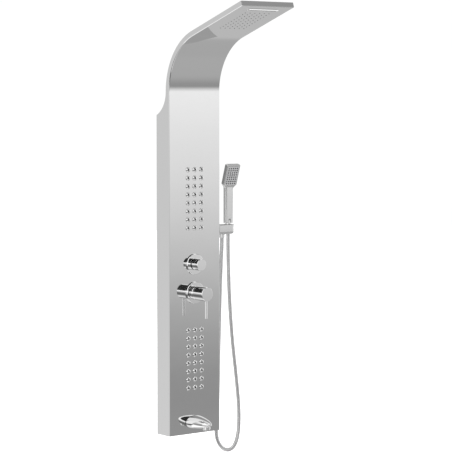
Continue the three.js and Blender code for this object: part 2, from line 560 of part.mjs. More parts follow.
// ---- Shower hose --------------------------------------------------------------------------------------------------
// It leaves the outlet nut, hangs beside the panel in one long loop and rises again to the hand shower.
const HOSE_ROUTE = [
  [137, 49, 673.7], [136.8, 49, 649], [134.6, 49, 610], [131.6, 49, 550], [128.7, 49, 481],
  [126.2, 49, 402], [124, 49, 323], [121.9, 49, 244], [120.4, 48.5, 165], [119.4, 47, 101],
  [118.8, 44, 46], [118.2, 41, 8], [119.5, 39.6, -22], [125, 41, -45], [134.5, 43.5, -63],
  [149, 46, -76], [166, 48, -80], [184, 49, -75], [200, 49, -56], [210.2, 49, -22], [213.8, 49, 24],
  [212.2, 49, 78], [206.5, 49, 135], [198.4, 49, 200], [189.5, 49, 266], [181.5, 49, 333],
  [175.1, 49, 405], [170.3, 49, 476], [167.1, 49, 547], [165.1, 49, 618], [164.7, 49, 658],
  [164.7, 49, 687.7],
];
add(column, 'shower_hose', bar(HOSE_ROUTE, HOSE_RADIUS, { sides: 8, steps: 58 }), CHROME);

// ---- Hand shower --------------------------------------------------------------------------------------------------
const handset = group(column, HOLDER.seat, HOLDER.forward, HANDLE.bottom);
const sprayHead = group(handset, 0, 0, HANDLE.length - 4, SPRAY.tilt);
sprayHead.updateMatrix();
const FACE = { width: 48, height: 70, middle: 47, depth: 1.8, chamber: 3 };

function sprayOutline() {
  const [wide, neck, top] = [SPRAY.width / 2, HANDLE.width / 2, SPRAY.length];
  return polygon([[-neck, -3], [neck, -3], [neck, 2], [wide, 15], [wide, top - 9], [wide - 9, top], [9 - wide, top],
    [-wide, top - 9], [-wide, 15], [-neck, 2]]);
}

const faceBlock = (shrink, from, to) => {
  const [w, h] = [FACE.width / 2 - shrink, FACE.height / 2 - shrink];
  return block([-w, w], [from, to], [FACE.middle - h, FACE.middle + h]);
};

function handsetBody() {
  const half = SPRAY.thickness / 2;
  const sprayShell = placed(facing(sprayOutline(), -half, half), sprayHead.matrix);
  const recess = placed(faceBlock(0, half - FACE.depth, half + 1), sprayHead.matrix);
  const chamber = placed(faceBlock(2.5, half - FACE.depth - FACE.chamber, half), sprayHead.matrix);
  const grip = upright(roundedBox(HANDLE.width, HANDLE.depth, HANDLE.corner), 0, HANDLE.length, { curveSegments: 4 });
  const arch = joined(block([-5, 5], [0, 12], [-1, 9]), moved(rod('front', 5, 0, 12, 16), 0, 0, 9));
  const waterWay = rod('up', 4.5, 10, HANDLE.length + 12, 12);
  return cut(joined(sprayShell, grip), recess, chamber, arch, rod('up', 8.4, -1, 14), waterWay);
}

const nozzlePlaces = spread(SPRAY.columns, SPRAY.pitchX).flatMap((x) =>
  spread(SPRAY.rows, SPRAY.pitchZ).map((z) => [x, FACE.middle + z]));

function facePlate() {
  const half = SPRAY.thickness / 2;
  const hole = rod('front', 2.2, half - 4, half + 2, 5);
  return cut(faceBlock(GAP, half - FACE.depth + GAP, half + 0.4), ...nozzlePlaces.map(([x, z]) => moved(hole, x, 0, z)));
}

function nozzleMat() {
  const front = SPRAY.thickness / 2 - FACE.depth;
  const nozzle = rod('front', 1.6, front - 1, SPRAY.thickness / 2 + 1.2, 5);
  return joined(faceBlock(3, front - 1.6, front), ...nozzlePlaces.map(([x, z]) => moved(nozzle, x, 0, z)));
}

// The cone on the hose's end screws into the grip and is what rests in the cradle.
const hoseCone = () => turned('up', [[0, -38], [7.6, -38], [7.8, -30], [10.8, -6], [10.8, -GAP], [8, -GAP],
  [8, 9], [5, 9], [5, -20], [0, -20]], 24);

add(handset, 'handset_body', handsetBody(), CHROME);
add(sprayHead, 'handset_faceplate', facePlate(), GREY_PLASTIC);
add(sprayHead, 'handset_nozzle_mat', nozzleMat(), RUBBER);
add(handset, 'hose_cone', hoseCone(), CHROME);

// ---- Feed hoses inside the panel ----------------------------------------------------------------------------------
const spigotEnd = DIVERTER_BODY.x + SPIGOT.length + GAP;
const [highZ, lowZ] = [DIVERTER.z + DIVERTER_BODY.spigotZ, DIVERTER.z - DIVERTER_BODY.spigotZ];
const SPIGOT_DEPTH = PANEL.depth + DIVERTER_BODY.spigotDepth;

// A place in the head's frame, as (x, forward, z) of the column.
function inHead(x, along, up) {
  const [, forward, z] = HEAD_AT;
  return [x, forward + along * cos(SLOPE) - up * sin(SLOPE), z + along * sin(SLOPE) + up * cos(SLOPE)];
}

// The hose's way round the bend, midway through the head's thickness, from one x to another.
function roundBend(fromX, toX) {
  const radius = BEND.radius + HEAD_FEED_Z;
  return [0, 0.2, 0.4, 0.6, 0.8, 1].map((share) => [
    fromX + (toX - fromX) * share,
    BEND_CENTRE - radius * cos(share * BEND.sweep),
    PANEL.straight + radius * sin(share * BEND.sweep),
  ]);
}

function feed(name, points, steps, radius = FEED_RADIUS) {
  add(column, name, bar(points, radius, { sides: 6, steps }), ZINC);
}

const HEAD_FEED_RADIUS = 4.6;
const LEAD = 10; // a hose leaves its fitting straight
const chamberEnd = (top, side) => jetCentre(top) + side * (matHalf.z + 10 + GAP);
const upperEnd = chamberEnd(JET.upperTop, -1);
const lowerEnd = chamberEnd(JET.lowerTop, 1);
const fromLeft = (z) => [[-spigotEnd, SPIGOT_DEPTH, z], [-spigotEnd - LEAD, SPIGOT_DEPTH, z]];
const fromRight = (z) => [[spigotEnd, SPIGOT_DEPTH, z], [spigotEnd + LEAD, SPIGOT_DEPTH, z]];
const rainEnd = RAIN_BOX.from - 8 - GAP;
const fallEnd = FALL_BOX.from - 8 - GAP;

feed('rain_feed_hose', [...fromLeft(highZ), [-66, 38, 622], [-76, 34, 660], [-78, 32, 760], [-78, 32, 900],
  [-78, 34, 1020], [-78, 48, 1110], ...roundBend(-76, -42), inHead(-40, rainEnd - LEAD, HEAD_FEED_Z),
  inHead(-40, rainEnd, HEAD_FEED_Z)], 36, HEAD_FEED_RADIUS);
feed('waterfall_feed_hose', [...fromRight(lowZ), [60, 32, 576], [67, 22, 610], [67, 20, 700], [68, 20, 840],
  [72, 26, 980], [76, 44, 1100], ...roundBend(76, 76), inHead(76, 60, HEAD_FEED_Z), inHead(76, 140, HEAD_FEED_Z),
  inHead(76, fallEnd - LEAD, HEAD_FEED_Z), inHead(76, fallEnd, HEAD_FEED_Z)], 44, HEAD_FEED_RADIUS);
const diverterTop = DIVERTER.z + DIVERTER_BODY.z + SPIGOT.length + GAP;
feed('jet_feed_hose', [[0, SPIGOT_DEPTH, diverterTop], [0, SPIGOT_DEPTH, diverterTop + LEAD],
  [0, FEED_DEPTH, upperEnd - LEAD], [0, FEED_DEPTH, upperEnd]], 8);
feed('jet_link_hose', [[-30, FEED_DEPTH, upperEnd], [-30, FEED_DEPTH, upperEnd - 8], [-44, FEED_DEPTH, 654],
  [-58, FEED_DEPTH, 620], [-61, FEED_DEPTH, 560], [-61, FEED_DEPTH, 480], [-54, FEED_DEPTH, 425],
  [-32, FEED_DEPTH, lowerEnd + 16], [-30, FEED_DEPTH, lowerEnd + 7], [-30, FEED_DEPTH, lowerEnd]], 22);
const outletEnd = PANEL_SIDE - 15 - GAP;
feed('handset_feed_hose', [...fromRight(highZ), [64, 46, 618], [74, 49, 640], [78, 49, 664], [80, 49, 688],
  [outletEnd - 7, HOLDER.forward, HOLDER.neck], [outletEnd, HOLDER.forward, HOLDER.neck]], 18);
const spoutEnd = PANEL.depth + SPOUT_TAIL.from - GAP;
feed('spout_feed_hose', [...fromLeft(lowZ), [-66, 36, 560], [-80, 28, 530], [-84, 24, 440], [-84, 24, 300],
  [-84, 24, 180], [-72, 26, 90], [-36, 28, 50], [-8, 34, SPOUT.z], [0, spoutEnd - 6, SPOUT.z],
  [0, spoutEnd, SPOUT.z]], 30);

export default shower;
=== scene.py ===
"""The looks of the rainfall shower column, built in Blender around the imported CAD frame.

Sizes are millimetres until a mesh is made. A place is (x, forward, z): forward is away from the wall,
and z counts from the panel's bottom edge, as in the part itself. row() turns such a place into the row
frame, in metres.
"""
import json
from math import acos, atan2, ceil, cos, hypot, pi, radians, sin, sqrt, tan

import bmesh
import bpy
import numpy as np
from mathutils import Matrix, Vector


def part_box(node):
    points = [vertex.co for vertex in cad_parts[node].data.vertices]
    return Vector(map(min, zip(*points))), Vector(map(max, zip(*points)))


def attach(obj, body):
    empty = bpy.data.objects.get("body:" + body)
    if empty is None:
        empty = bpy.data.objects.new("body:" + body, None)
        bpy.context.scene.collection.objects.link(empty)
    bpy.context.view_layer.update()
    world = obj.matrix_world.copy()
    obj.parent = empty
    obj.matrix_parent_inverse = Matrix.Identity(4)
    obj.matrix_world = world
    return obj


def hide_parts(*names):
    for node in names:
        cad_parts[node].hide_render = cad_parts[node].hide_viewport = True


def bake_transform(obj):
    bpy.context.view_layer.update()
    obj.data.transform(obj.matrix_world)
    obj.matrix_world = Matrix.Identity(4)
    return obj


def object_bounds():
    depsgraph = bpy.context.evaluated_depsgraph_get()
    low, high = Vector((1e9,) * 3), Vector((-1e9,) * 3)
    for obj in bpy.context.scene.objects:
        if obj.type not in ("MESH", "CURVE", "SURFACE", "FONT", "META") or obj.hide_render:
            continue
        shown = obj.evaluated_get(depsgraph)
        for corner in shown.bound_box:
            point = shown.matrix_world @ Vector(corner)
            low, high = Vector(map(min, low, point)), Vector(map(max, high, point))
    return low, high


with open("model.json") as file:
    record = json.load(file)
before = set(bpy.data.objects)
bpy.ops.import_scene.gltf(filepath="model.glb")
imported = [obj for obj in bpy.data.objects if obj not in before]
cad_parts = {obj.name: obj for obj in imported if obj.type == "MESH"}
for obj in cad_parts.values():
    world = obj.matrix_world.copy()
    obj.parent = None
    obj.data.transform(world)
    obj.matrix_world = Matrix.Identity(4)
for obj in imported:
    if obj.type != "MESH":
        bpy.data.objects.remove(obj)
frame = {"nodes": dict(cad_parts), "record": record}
CAD_BOX = [list(corner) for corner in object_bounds()]

MM = 0.001
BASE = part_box("front_shell")[0].z / MM
RIGHT, FORWARD, UP = Vector((1, 0, 0)), Vector((0, -1, 0)), Vector((0, 0, 1))

# ---- Driving dimensions ----
SHEET = 1.5
PANEL = {"width": 220, "depth": 71, "straight": 1185, "corner": 3}
BEND = {"radius": 195.7, "sweep": radians(71)}
HEAD = {"length": 279.5, "thickness": 18}
COVE_START = 1105
RAIN = {"columns": 6, "rows": 10, "pitch_x": 20, "pitch_along": 15.5, "first": 80, "hole": 1.8}
SLOT = {"along": 250, "length": 130, "width": 12, "opening": 4.4, "proud": 3.5}
JET = {"columns": 3, "rows": 8, "pitch": 28.7, "radius": 8.8, "proud": 5}
JET_MATS = ("upper_jet_mat", "lower_jet_mat")
SPOUT = {"half_width": 40, "reach": 89, "half_height": 23, "taper": 0.3, "droop": 1,
         "aerator": 12.5, "aerator_at": 64}
HOLDER = {"forward": 49, "outlet": 137, "seat": 164.7, "radius": 21, "bottom": 687, "top": 720, "neck": 703}
HANDLE = {"width": 33, "depth": 18, "corner": 5, "bottom": 726, "length": 126}
SPRAY = {"width": 58, "length": 88, "thickness": 15, "tilt": radians(18), "columns": 5, "rows": 8,
         "pitch_x": 9, "pitch_z": 8}
FACE = {"width": 48, "height": 70, "middle": 47}
HOSE_RADIUS = 7

BEND_CENTRE = PANEL["depth"] + BEND["radius"]
SLOPE = pi / 2 - BEND["sweep"]
HEAD_START = (BEND_CENTRE - BEND["radius"] * cos(BEND["sweep"]),
              PANEL["straight"] + BEND["radius"] * sin(BEND["sweep"]))
COVE_REACH = PANEL["depth"] - HEAD["thickness"]
COVE_RISE = PANEL["straight"] - COVE_START
COVE_RADIUS = (COVE_REACH ** 2 + COVE_RISE ** 2) / (2 * COVE_REACH)


def row(x, forward, z):
    """A place of the part, in the row frame."""
    return Vector((x * MM, -forward * MM, (BASE + z) * MM))


def middle(node):
    """The middle of a CAD node's box, as (x, forward, z) in millimetres."""
    low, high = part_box(node)
    centre = (low + high) / 2 / MM
    return centre.x, -centre.y, centre.z - BASE


def heights(node):
    """A CAD node's lowest and highest z."""
    low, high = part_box(node)
    return low.z / MM - BASE, high.z / MM - BASE


def round_part(node):
    """A round CAD node that faces forward: its place on the panel, its radius, its back and its front."""
    x, _, z = middle(node)
    low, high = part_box(node)
    return (x, 0, z), (high.x - low.x) / 2 / MM, -high.y / MM, -low.y / MM


def upright_part(node):
    """A round CAD node that stands upright: its place, its radius, its bottom and its top."""
    x, forward, _ = middle(node)
    return (x, forward, 0), round_part(node)[1], *heights(node)


def in_head(x, along, up=0.0):
    """A place given along the head and up from its underside, as (x, forward, z)."""
    forward, z = HEAD_START
    return (x, forward + along * cos(SLOPE) - up * sin(SLOPE), z + along * sin(SLOPE) + up * cos(SLOPE))


# ---- Camera ----
def make_camera():
    """The photograph's long lens, from the front left and a little above the panel's middle."""
    data = bpy.data.cameras.new("camera")
    data.sensor_width = 36
    data.lens = 153.4
    data.clip_end = 60
    camera = bpy.data.objects.new("camera", data)
    bpy.context.scene.collection.objects.link(camera)
    turn, tilt = radians(38.378), radians(-3.942)
    look = Vector((sin(turn) * cos(tilt), cos(turn) * cos(tilt), sin(tilt)))
    camera.location = (-4.0331, -5.3376, 0.1444)
    camera.rotation_euler = look.to_track_quat("-Z", "Y").to_euler()
    bpy.context.scene.camera = camera


make_camera()


# ---- Mesh tools ----
def new_object(name, mesh):
    obj = bpy.data.objects.new(name, mesh)
    bpy.context.scene.collection.objects.link(obj)
    return obj


def from_faces(name, points, faces):
    """A closed mesh in metres from row-frame points, with its faces turned outwards."""
    mesh = bpy.data.meshes.new(name)
    mesh.from_pydata([tuple(p) for p in points], [], faces)
    shape = bmesh.new()
    shape.from_mesh(mesh)
    bmesh.ops.remove_doubles(shape, verts=shape.verts, dist=1e-7)
    bmesh.ops.recalc_face_normals(shape, faces=shape.faces)
    shape.to_mesh(mesh)
    shape.free()
    return new_object(name, mesh)


def combined(obj, others, operation):
    """Joins other solids to a solid, or cuts them out of it, and removes them from the scene."""
    for other in others:
        change = obj.modifiers.new(other.name, "BOOLEAN")
        change.object = other
        change.operation = operation
        change.solver = "EXACT"
    bpy.context.view_layer.update()
    graph = bpy.context.evaluated_depsgraph_get()
    mesh = bpy.data.meshes.new_from_object(obj.evaluated_get(graph))
    old = obj.data
    obj.modifiers.clear()
    obj.data = mesh
    bpy.data.meshes.remove(old)
    for other in others:
        bpy.data.objects.remove(other)
    return obj


def cut(obj, *others):
    return combined(obj, others, "DIFFERENCE")


def joined(obj, *others):
    return combined(obj, others, "UNION")


def merged(name, objects):
    """Several separate solids as one object."""
    shape = bmesh.new()
    for one in objects:
        shape.from_mesh(one.data)
        bpy.data.objects.remove(one)
    mesh = bpy.data.meshes.new(name)
    shape.to_mesh(mesh)
    shape.free()
    return new_object(name, mesh)


def smooth(obj, sharp=38):
    """Smooth shading that keeps flat faces flat and breaks at edges sharper than the given angle."""
    obj.data.shade_smooth()
    obj.data.set_sharp_from_angle(angle=radians(sharp))
    change = obj.modifiers.new("face_weighted", "WEIGHTED_NORMAL")
    change.keep_sharp = True
    change.weight = 90
    return obj


def filleted(profile, segments=5):
    """A polyline of (u, v) or (u, v, radius) points, with an arc for each corner that has a radius."""
    points = []
    for i, point in enumerate(profile):
        if len(point) < 3 or point[2] == 0 or i in (0, len(profile) - 1):
            points.append(point[:2])
            continue
        here = Vector(point[:2])
        back = (Vector(profile[i - 1][:2]) - here).normalized()
        on = (Vector(profile[i + 1][:2]) - here).normalized()
        half = acos(max(-1, min(1, back.dot(on)))) / 2
        centre = here + (back + on).normalized() * point[2] / sin(half)
        reach = point[2] / sin(half) * cos(half)
        first, last = here + back * reach - centre, here + on * reach - centre
        sweep = first.angle_signed(last)
        for step in range(segments + 1):
            turn = -sweep * step / segments
            points.append((centre.x + first.x * cos(turn) - first.y * sin(turn),
                           centre.y + first.x * sin(turn) + first.y * cos(turn)))
    return points


AXES = {"front": (RIGHT, UP, FORWARD), "up": (RIGHT, FORWARD, UP), "right": (FORWARD, UP, RIGHT)}


def turned(name, profile, centre, axis="front", sides=96, frame_of=None):
    """A turned solid. Its profile is a list of (radius, along the axis); a closed profile makes a ring."""
    side, other, along = frame_of or AXES[axis]
    origin = row(*centre)
    points, rings = [], []
    for radius, distance in profile:
        start = len(points)
        count = 1 if radius < 1e-6 else sides
        for i in range(count):
            turn = 2 * pi * i / sides
            out = radius * (cos(turn) * side + sin(turn) * other)
            points.append(origin + MM * (out + distance * along))
        rings.append((start, count))
    if rings[0][1] > 1:
        rings.append(rings[0])
    faces = []
    for (a, count_a), (b, count_b) in zip(rings, rings[1:]):
        for i in range(sides):
            j = (i + 1) % sides
            corners = [a + i % count_a, a + j % count_a, b + j % count_b, b + i % count_b]
            faces.append(list(dict.fromkeys(corners)))
    return from_faces(name, points, [f for f in faces if len(f) > 2])


def rod(name, radius, start, end, centre, axis="front", sides=64, frame_of=None):
    profile = [(0, start), (radius, start), (radius, end), (0, end)]
    return turned(name, profile, centre, axis, sides, frame_of)


def inset(outline, distance):
    """A closed outline moved inwards by a distance; the outline runs anticlockwise."""
    moved = []
    for i, here in enumerate(outline):
        before, after = outline[i - 1], outline[(i + 1) % len(outline)]
        one, two = Vector(here) - Vector(before), Vector(after) - Vector(here)
        normal_a, normal_b = Vector((-one.y, one.x)).normalized(), Vector((-two.y, two.x)).normalized()
        mitre = (normal_a + normal_b).normalized()
        moved.append(Vector(here) + mitre * distance / max(0.3, mitre.dot(normal_a)))
    return [tuple(p) for p in moved]


def bands(rings, count):
    """The four-sided faces between closed rings of points that follow one another."""
    return [[start + i, start + (i + 1) % count, start + count + (i + 1) % count, start + count + i]
            for start in range(0, (rings - 1) * count, count) for i in range(count)]


def end_caps(rings, count):
    return [list(range(count)), [rings * count - 1 - i for i in range(count)]]


def lofted(name, outline, levels, place):
    """A solid from a closed outline of (u, v) points, repeated at each level, an (inset, height).

    place turns (u, v, height) into a point of the row frame.
    """
    points = [place(u, v, height) for depth, height in levels for u, v in inset(outline, depth)]
    size = len(levels), len(outline)
    return from_faces(name, points, end_caps(*size) + bands(*size))


def arc(centre, radius, start, end, segments=10):
    """Points on an arc, with angles in degrees, anticlockwise when end is larger."""
    turns = [radians(start + (end - start) * i / segments) for i in range(segments + 1)]
    return [(centre[0] + radius * cos(t), centre[1] + radius * sin(t)) for t in turns]


def rounded_box(width, height, corner, segments=8):
    w, h = width / 2 - corner, height / 2 - corner
    return (arc((w, h), corner, 0, 90, segments) + arc((-w, h), corner, 90, 180, segments)
            + arc((-w, -h), corner, 180, 270, segments) + arc((w, -h), corner, 270, 360, segments))


def rectangle(left, right, low, high):
    return [(left, low), (right, low), (right, high), (left, high)]


def rim(radius, steps):
    """The levels of a loft's rounded rim, as (inset, distance from its end)."""
    turns = [i * pi / 2 / steps for i in range(steps + 1)]
    return [(radius * (1 - sin(t)), radius * (1 - cos(t))) for t in turns]


def between_rims(low, high, below, above):
    return ([(depth, low + rise) for depth, rise in below]
            + [(depth, high - rise) for depth, rise in reversed(above)])


def soft_edges(low, high, radius, steps=4):
    """Levels of a loft from low to high with both rims rounded."""
    return between_rims(low, high, rim(radius, steps), rim(radius, steps))


def spread(count, pitch):
    return [(i - (count - 1) / 2) * pitch for i in range(count)]


# ---- Shower hose ----
HOSE_ROUTE = [
    (137, 49, 673.7), (136.8, 49, 649), (134.6, 49, 610), (131.6, 49, 550), (128.7, 49, 481),
    (126.2, 49, 402), (124, 49, 323), (121.9, 49, 244), (120.4, 48.5, 165), (119.4, 47, 101),
    (118.8, 44, 46), (118.2, 41, 8), (119.5, 39.6, -22), (125, 41, -45), (134.5, 43.5, -63),
    (149, 46, -76), (166, 48, -80), (184, 49, -75), (200, 49, -56), (210.2, 49, -22), (213.8, 49, 24),
    (212.2, 49, 78), (206.5, 49, 135), (198.4, 49, 200), (189.5, 49, 266), (181.5, 49, 333),
    (175.1, 49, 405), (170.3, 49, 476), (167.1, 49, 547), (165.1, 49, 618), (164.7, 49, 658),
    (164.7, 49, 687.7),
]


def smooth_line(points, step=0.5, pieces=24):
    """A centripetal Catmull-Rom curve through the points, resampled at even steps, and its length."""
    knots = [Vector(p) for p in points]
    knots = [2 * knots[0] - knots[1], *knots, 2 * knots[-1] - knots[-2]]
    line = []
    for p0, p1, p2, p3 in zip(knots, knots[1:], knots[2:], knots[3:]):
        t1 = sqrt((p1 - p0).length)
        t2 = t1 + sqrt((p2 - p1).length)
        t3 = t2 + sqrt((p3 - p2).length)
        for i in range(pieces):
            t = t1 + (t2 - t1) * i / pieces
            a1 = p0 * (t1 - t) / t1 + p1 * t / t1
            a2 = p1 * (t2 - t) / (t2 - t1) + p2 * (t - t1) / (t2 - t1)
            a3 = p2 * (t3 - t) / (t3 - t2) + p3 * (t - t2) / (t3 - t2)
            b1 = a1 * (t2 - t) / t2 + a2 * t / t2
            b2 = a2 * (t3 - t) / (t3 - t1) + a3 * (t - t1) / (t3 - t1)
            line.append(b1 * (t2 - t) / (t2 - t1) + b2 * (t - t1) / (t2 - t1))
    line.append(knots[-2])
    places = np.array([tuple(p) for p in line])
    along = np.concatenate([[0], np.cumsum(np.linalg.norm(np.diff(places, axis=0), axis=1))])
    even = np.linspace(0, along[-1], ceil(along[-1] / step) + 1)
    return np.stack([np.interp(even, along, places[:, k]) for k in range(3)], axis=1), along[-1]


def tube(name, route, radius_at, stations, sides=20):
    """A tube round a route, with radius_at(distance) at each station; a distance is in mm along it."""
    line, length = smooth_line(route)
    along = np.linspace(0, length, len(line))

    def places_at(distances):
        return np.stack([np.interp(distances, along, line[:, k]) for k in range(3)], axis=1)

    tangents = places_at(np.minimum(stations + 1, length)) - places_at(np.maximum(stations - 1, 0))
    tangents /= np.linalg.norm(tangents, axis=1)[:, None]
    normal = np.cross(tangents[0], (0.31, 0.2, 0.93) if abs(tangents[0][2]) < 0.9 else (1, 0, 0))
    points = []
    for centre, tangent, distance in zip(places_at(stations), tangents, stations):
        normal = normal - tangent * normal.dot(tangent)
        normal /= np.linalg.norm(normal)
        binormal = np.cross(tangent, normal)
        for i in range(sides):
            turn = 2 * pi * i / sides
            out = cos(turn) * normal + sin(turn) * binormal
            points.append(row(*(centre + radius_at(distance) * out)))
    size = len(stations), sides
    return from_faces(name, points, bands(*size) + end_caps(*size)), length


RIB = {"pitch": 3.7, "groove": 0.5}
# The rib's outline over one pitch: how far along it, and how high as a share of the groove's depth.
RIB_SHAPE = [(0.0, 0.0), (0.08, 0.75), (0.2, 1.0), (0.72, 1.0), (0.84, 0.75), (0.92, 0.0)]


def make_hose():
    """Interlocked metal hose: rounded ribs with a narrow groove between them, all the way."""
    _, length = smooth_line(HOSE_ROUTE)
    ribs = int(length / RIB["pitch"])
    pitch = length / ribs
    stations = [(i + share) * pitch for i in range(ribs) for share, _ in RIB_SHAPE] + [length]

    def radius_at(distance):
        share = (distance / pitch) % 1
        _, height = min(RIB_SHAPE, key=lambda place: abs(place[0] - share))
        return HOSE_RADIUS - RIB["groove"] * (1 - height)

    hose, _ = tube("ribbed_hose", HOSE_ROUTE, radius_at, np.array(stations), sides=24)
    hose.data.shade_smooth()
    hose.data.set_sharp_from_angle(angle=radians(30))
    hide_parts("shower_hose")
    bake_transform(hose)
    return hose


shower_hose = make_hose()


# ---- Panel and head ----
def back_depth(z):
    """How deep the side returns are at a height of the panel."""
    if z <= COVE_START:
        return PANEL["depth"]
    rise = PANEL["straight"] - z
    return PANEL["depth"] - (COVE_REACH - COVE_RADIUS + sqrt(COVE_RADIUS ** 2 - rise ** 2))


def stations_of_path(first=0.0, cove_steps=24, bend_steps=96):
    """Along the front face: its (forward, z), its outward direction, and how deep the sides are there."""
    out = (1.0, 0.0)
    column = [((PANEL["depth"], z), out, back_depth(z))
              for z in [first, *np.linspace(COVE_START, PANEL["straight"], cove_steps + 1)]]
    bend = []
    for turn in np.linspace(0, BEND["sweep"], bend_steps + 1)[1:]:
        face = (BEND_CENTRE - BEND["radius"] * cos(turn), PANEL["straight"] + BEND["radius"] * sin(turn))
        bend.append((face, (cos(turn), -sin(turn)), HEAD["thickness"]))
    end = in_head(0, HEAD["length"])[1:]
    return [*column, *bend, (end, bend[-1][1], HEAD["thickness"])]


def section(x, inward, station):
    """A point of the cross-section at a station: x across and how far it lies behind the front face."""
    (forward, z), (out_f, out_z), _ = station
    return row(x, forward - inward * out_f, z - inward * out_z)


def skin_section(depth, offset):
    """The folded sheet's outer line at offset 0, or its inner one, from the left back edge to the right."""
    half, corner = PANEL["width"] / 2, PANEL["corner"]
    bend = arc((corner - half, corner), corner - offset, 180, 270, 6)
    left = [(offset - half, depth), *bend]
    return left + [(-x, v) for x, v in reversed(left)]


def shell_solid():
    """The folded panel as one closed sheet, with its bottom plate."""
    outer = stations_of_path()
    inner = stations_of_path(first=SHEET)
    points = []
    half = len(skin_section(PANEL["depth"], 0))
    for out_station, in_station in zip(outer, inner):
        points += [section(x, v, out_station) for x, v in skin_section(out_station[2], 0)]
        points += [section(x, v, in_station) for x, v in reversed(skin_section(in_station[2], SHEET))]
    loop = 2 * half
    faces = bands(len(outer), loop)
    last = (len(outer) - 1) * loop
    faces += [[last + i, last + i + 1, last + loop - 2 - i, last + loop - 1 - i] for i in range(half - 1)]
    faces += [list(range(half)), list(range(half, loop)), [0, half - 1, half, loop - 1]]
    return from_faces("panel_shell", points, faces)


def panel_normal(point):
    """The outward direction of the folded sheet's outer face nearest to a row-frame point."""
    x, forward, z = point.x / MM, -point.y / MM, point.z / MM - BASE
    rise, reach = z - PANEL["straight"], BEND_CENTRE - forward
    turn = 0.0 if rise <= 0 else min(BEND["sweep"], atan2(rise, reach))
    out = cos(turn) * FORWARD - sin(turn) * UP
    if turn == 0.0:
        inward = PANEL["depth"] - forward
    elif turn < BEND["sweep"]:
        inward = hypot(rise, reach) - BEND["radius"]
    else:
        inward = (HEAD_START[0] - forward) * cos(turn) - (HEAD_START[1] - z) * sin(turn)
    corner = PANEL["corner"]
    past = abs(x) - (PANEL["width"] / 2 - corner)
    side = RIGHT if x > 0 else -RIGHT
    if past > 1e-3 and inward < corner:
        return (side * past + out * (corner - inward)).normalized()
    return out if inward < corner - 1e-3 else side


def set_true_normals(obj):
    """Gives the sheet's faces the exact directions of flats, folds and bend, and leaves cut edges flat."""
    mesh = obj.data
    normals = [Vector((0, 0, 1))] * len(mesh.loops)
    for face in mesh.polygons:
        for loop in face.loop_indices:
            true = panel_normal(mesh.vertices[mesh.loops[loop].vertex_index].co)
            match = true.dot(face.normal)
            normals[loop] = true if match > 0.8 else -true if match < -0.8 else face.normal.copy()
    mesh.shade_smooth()
    mesh.normals_split_custom_set(normals)


def jet_places(mat):
    x0, _, z0 = middle(mat)
    return [(x0 + x, 0, z0 + z) for x in spread(JET["columns"], JET["pitch"])
            for z in spread(JET["rows"], JET["pitch"])]


def head_frame():
    """The head's own directions: across, along it, and up from its underside."""
    along = FORWARD * cos(SLOPE) + UP * sin(SLOPE)
    return RIGHT, along, UP * cos(SLOPE) - FORWARD * sin(SLOPE)


def slot_outline(length, width):
    return rounded_box(length, width, width / 2 - 0.01, 12)


def slot_place(u, v, height):
    return row(*in_head(u, SLOT["along"] + v, height))


def rain_places():
    return [in_head(x, RAIN["first"] + i * RAIN["pitch_along"])
            for x in spread(RAIN["columns"], RAIN["pitch_x"]) for i in range(RAIN["rows"])]


def make_shell():
    """The folded panel with its holes for jets, valves, spout, holder, rain tips and waterfall."""
    shell = shell_solid()
    depth = PANEL["depth"]
    cutters = [rod("jet_hole", JET["radius"] + 0.3, depth - 3, depth + 1, place, sides=48)
               for mat in JET_MATS for place in jet_places(mat)]
    for node, radius in (("diverter_knob", 16), ("mixer_handle", 20.5), ("spout_lock_nut", 10.4)):
        x, _, z = middle(node)
        cutters.append(rod("valve_hole", radius, depth - 3, depth + 1, (x, 0, z)))
    cutters.append(rod("outlet_hole", 9.6, PANEL["width"] / 2 - 5, PANEL["width"] / 2 + 5,
                       (0, HOLDER["outlet"], HOLDER["neck"]), axis="right"))
    cutters += [rod("rain_hole", RAIN["hole"], -1, SHEET + 1, place, sides=20, frame_of=head_frame())
                for place in rain_places()]
    cutters.append(lofted("slot_hole", slot_outline(SLOT["length"] - 6, SLOT["width"] - 3),
                          [(0, -1), (0, SHEET + 1)], slot_place))
    cut(shell, merged("all_holes", cutters))
    set_true_normals(shell)
    return shell


def make_rain_tips():
    """The soft nozzle tips that fill the rain holes, a little proud of the sheet."""
    radius = RAIN["hole"] - 0.1
    profile = filleted([(0, 2), (radius, 2), (radius, -0.5, 0.4), (0.5, -0.6), (0.45, 0.6), (0, 0.6)],
                       segments=3)
    tips = [turned("tip", profile, place, sides=16, frame_of=head_frame()) for place in rain_places()]
    return smooth(merged("rain_tips", tips), sharp=50)


def make_head_top():
    """The sheet that closes the head and the cove from above, between the side returns."""
    width = PANEL["width"] / 2 - SHEET - 0.3
    skin = []
    for z in np.linspace(COVE_START + 2, PANEL["straight"], 25):
        back = PANEL["depth"] - back_depth(z)
        rise = (z - PANEL["straight"]) / COVE_RADIUS
        skin.append(((back, z), (sqrt(1 - rise ** 2), rise)))
    for turn in np.linspace(0, BEND["sweep"], 97)[1:]:
        radius = BEND["radius"] + HEAD["thickness"]
        skin.append(((BEND_CENTRE - radius * cos(turn), PANEL["straight"] + radius * sin(turn)),
                     (cos(turn), -sin(turn))))
    skin.append((in_head(0, HEAD["length"], HEAD["thickness"])[1:], skin[-1][1]))
    points = [row(x, forward + in_f * depth, z + in_z * depth) for (forward, z), (in_f, in_z) in skin
              for x, depth in rectangle(-width, width, 0, SHEET)]
    size = len(skin), 4
    return smooth(from_faces("head_top", points, bands(*size) + end_caps(*size)), sharp=30)


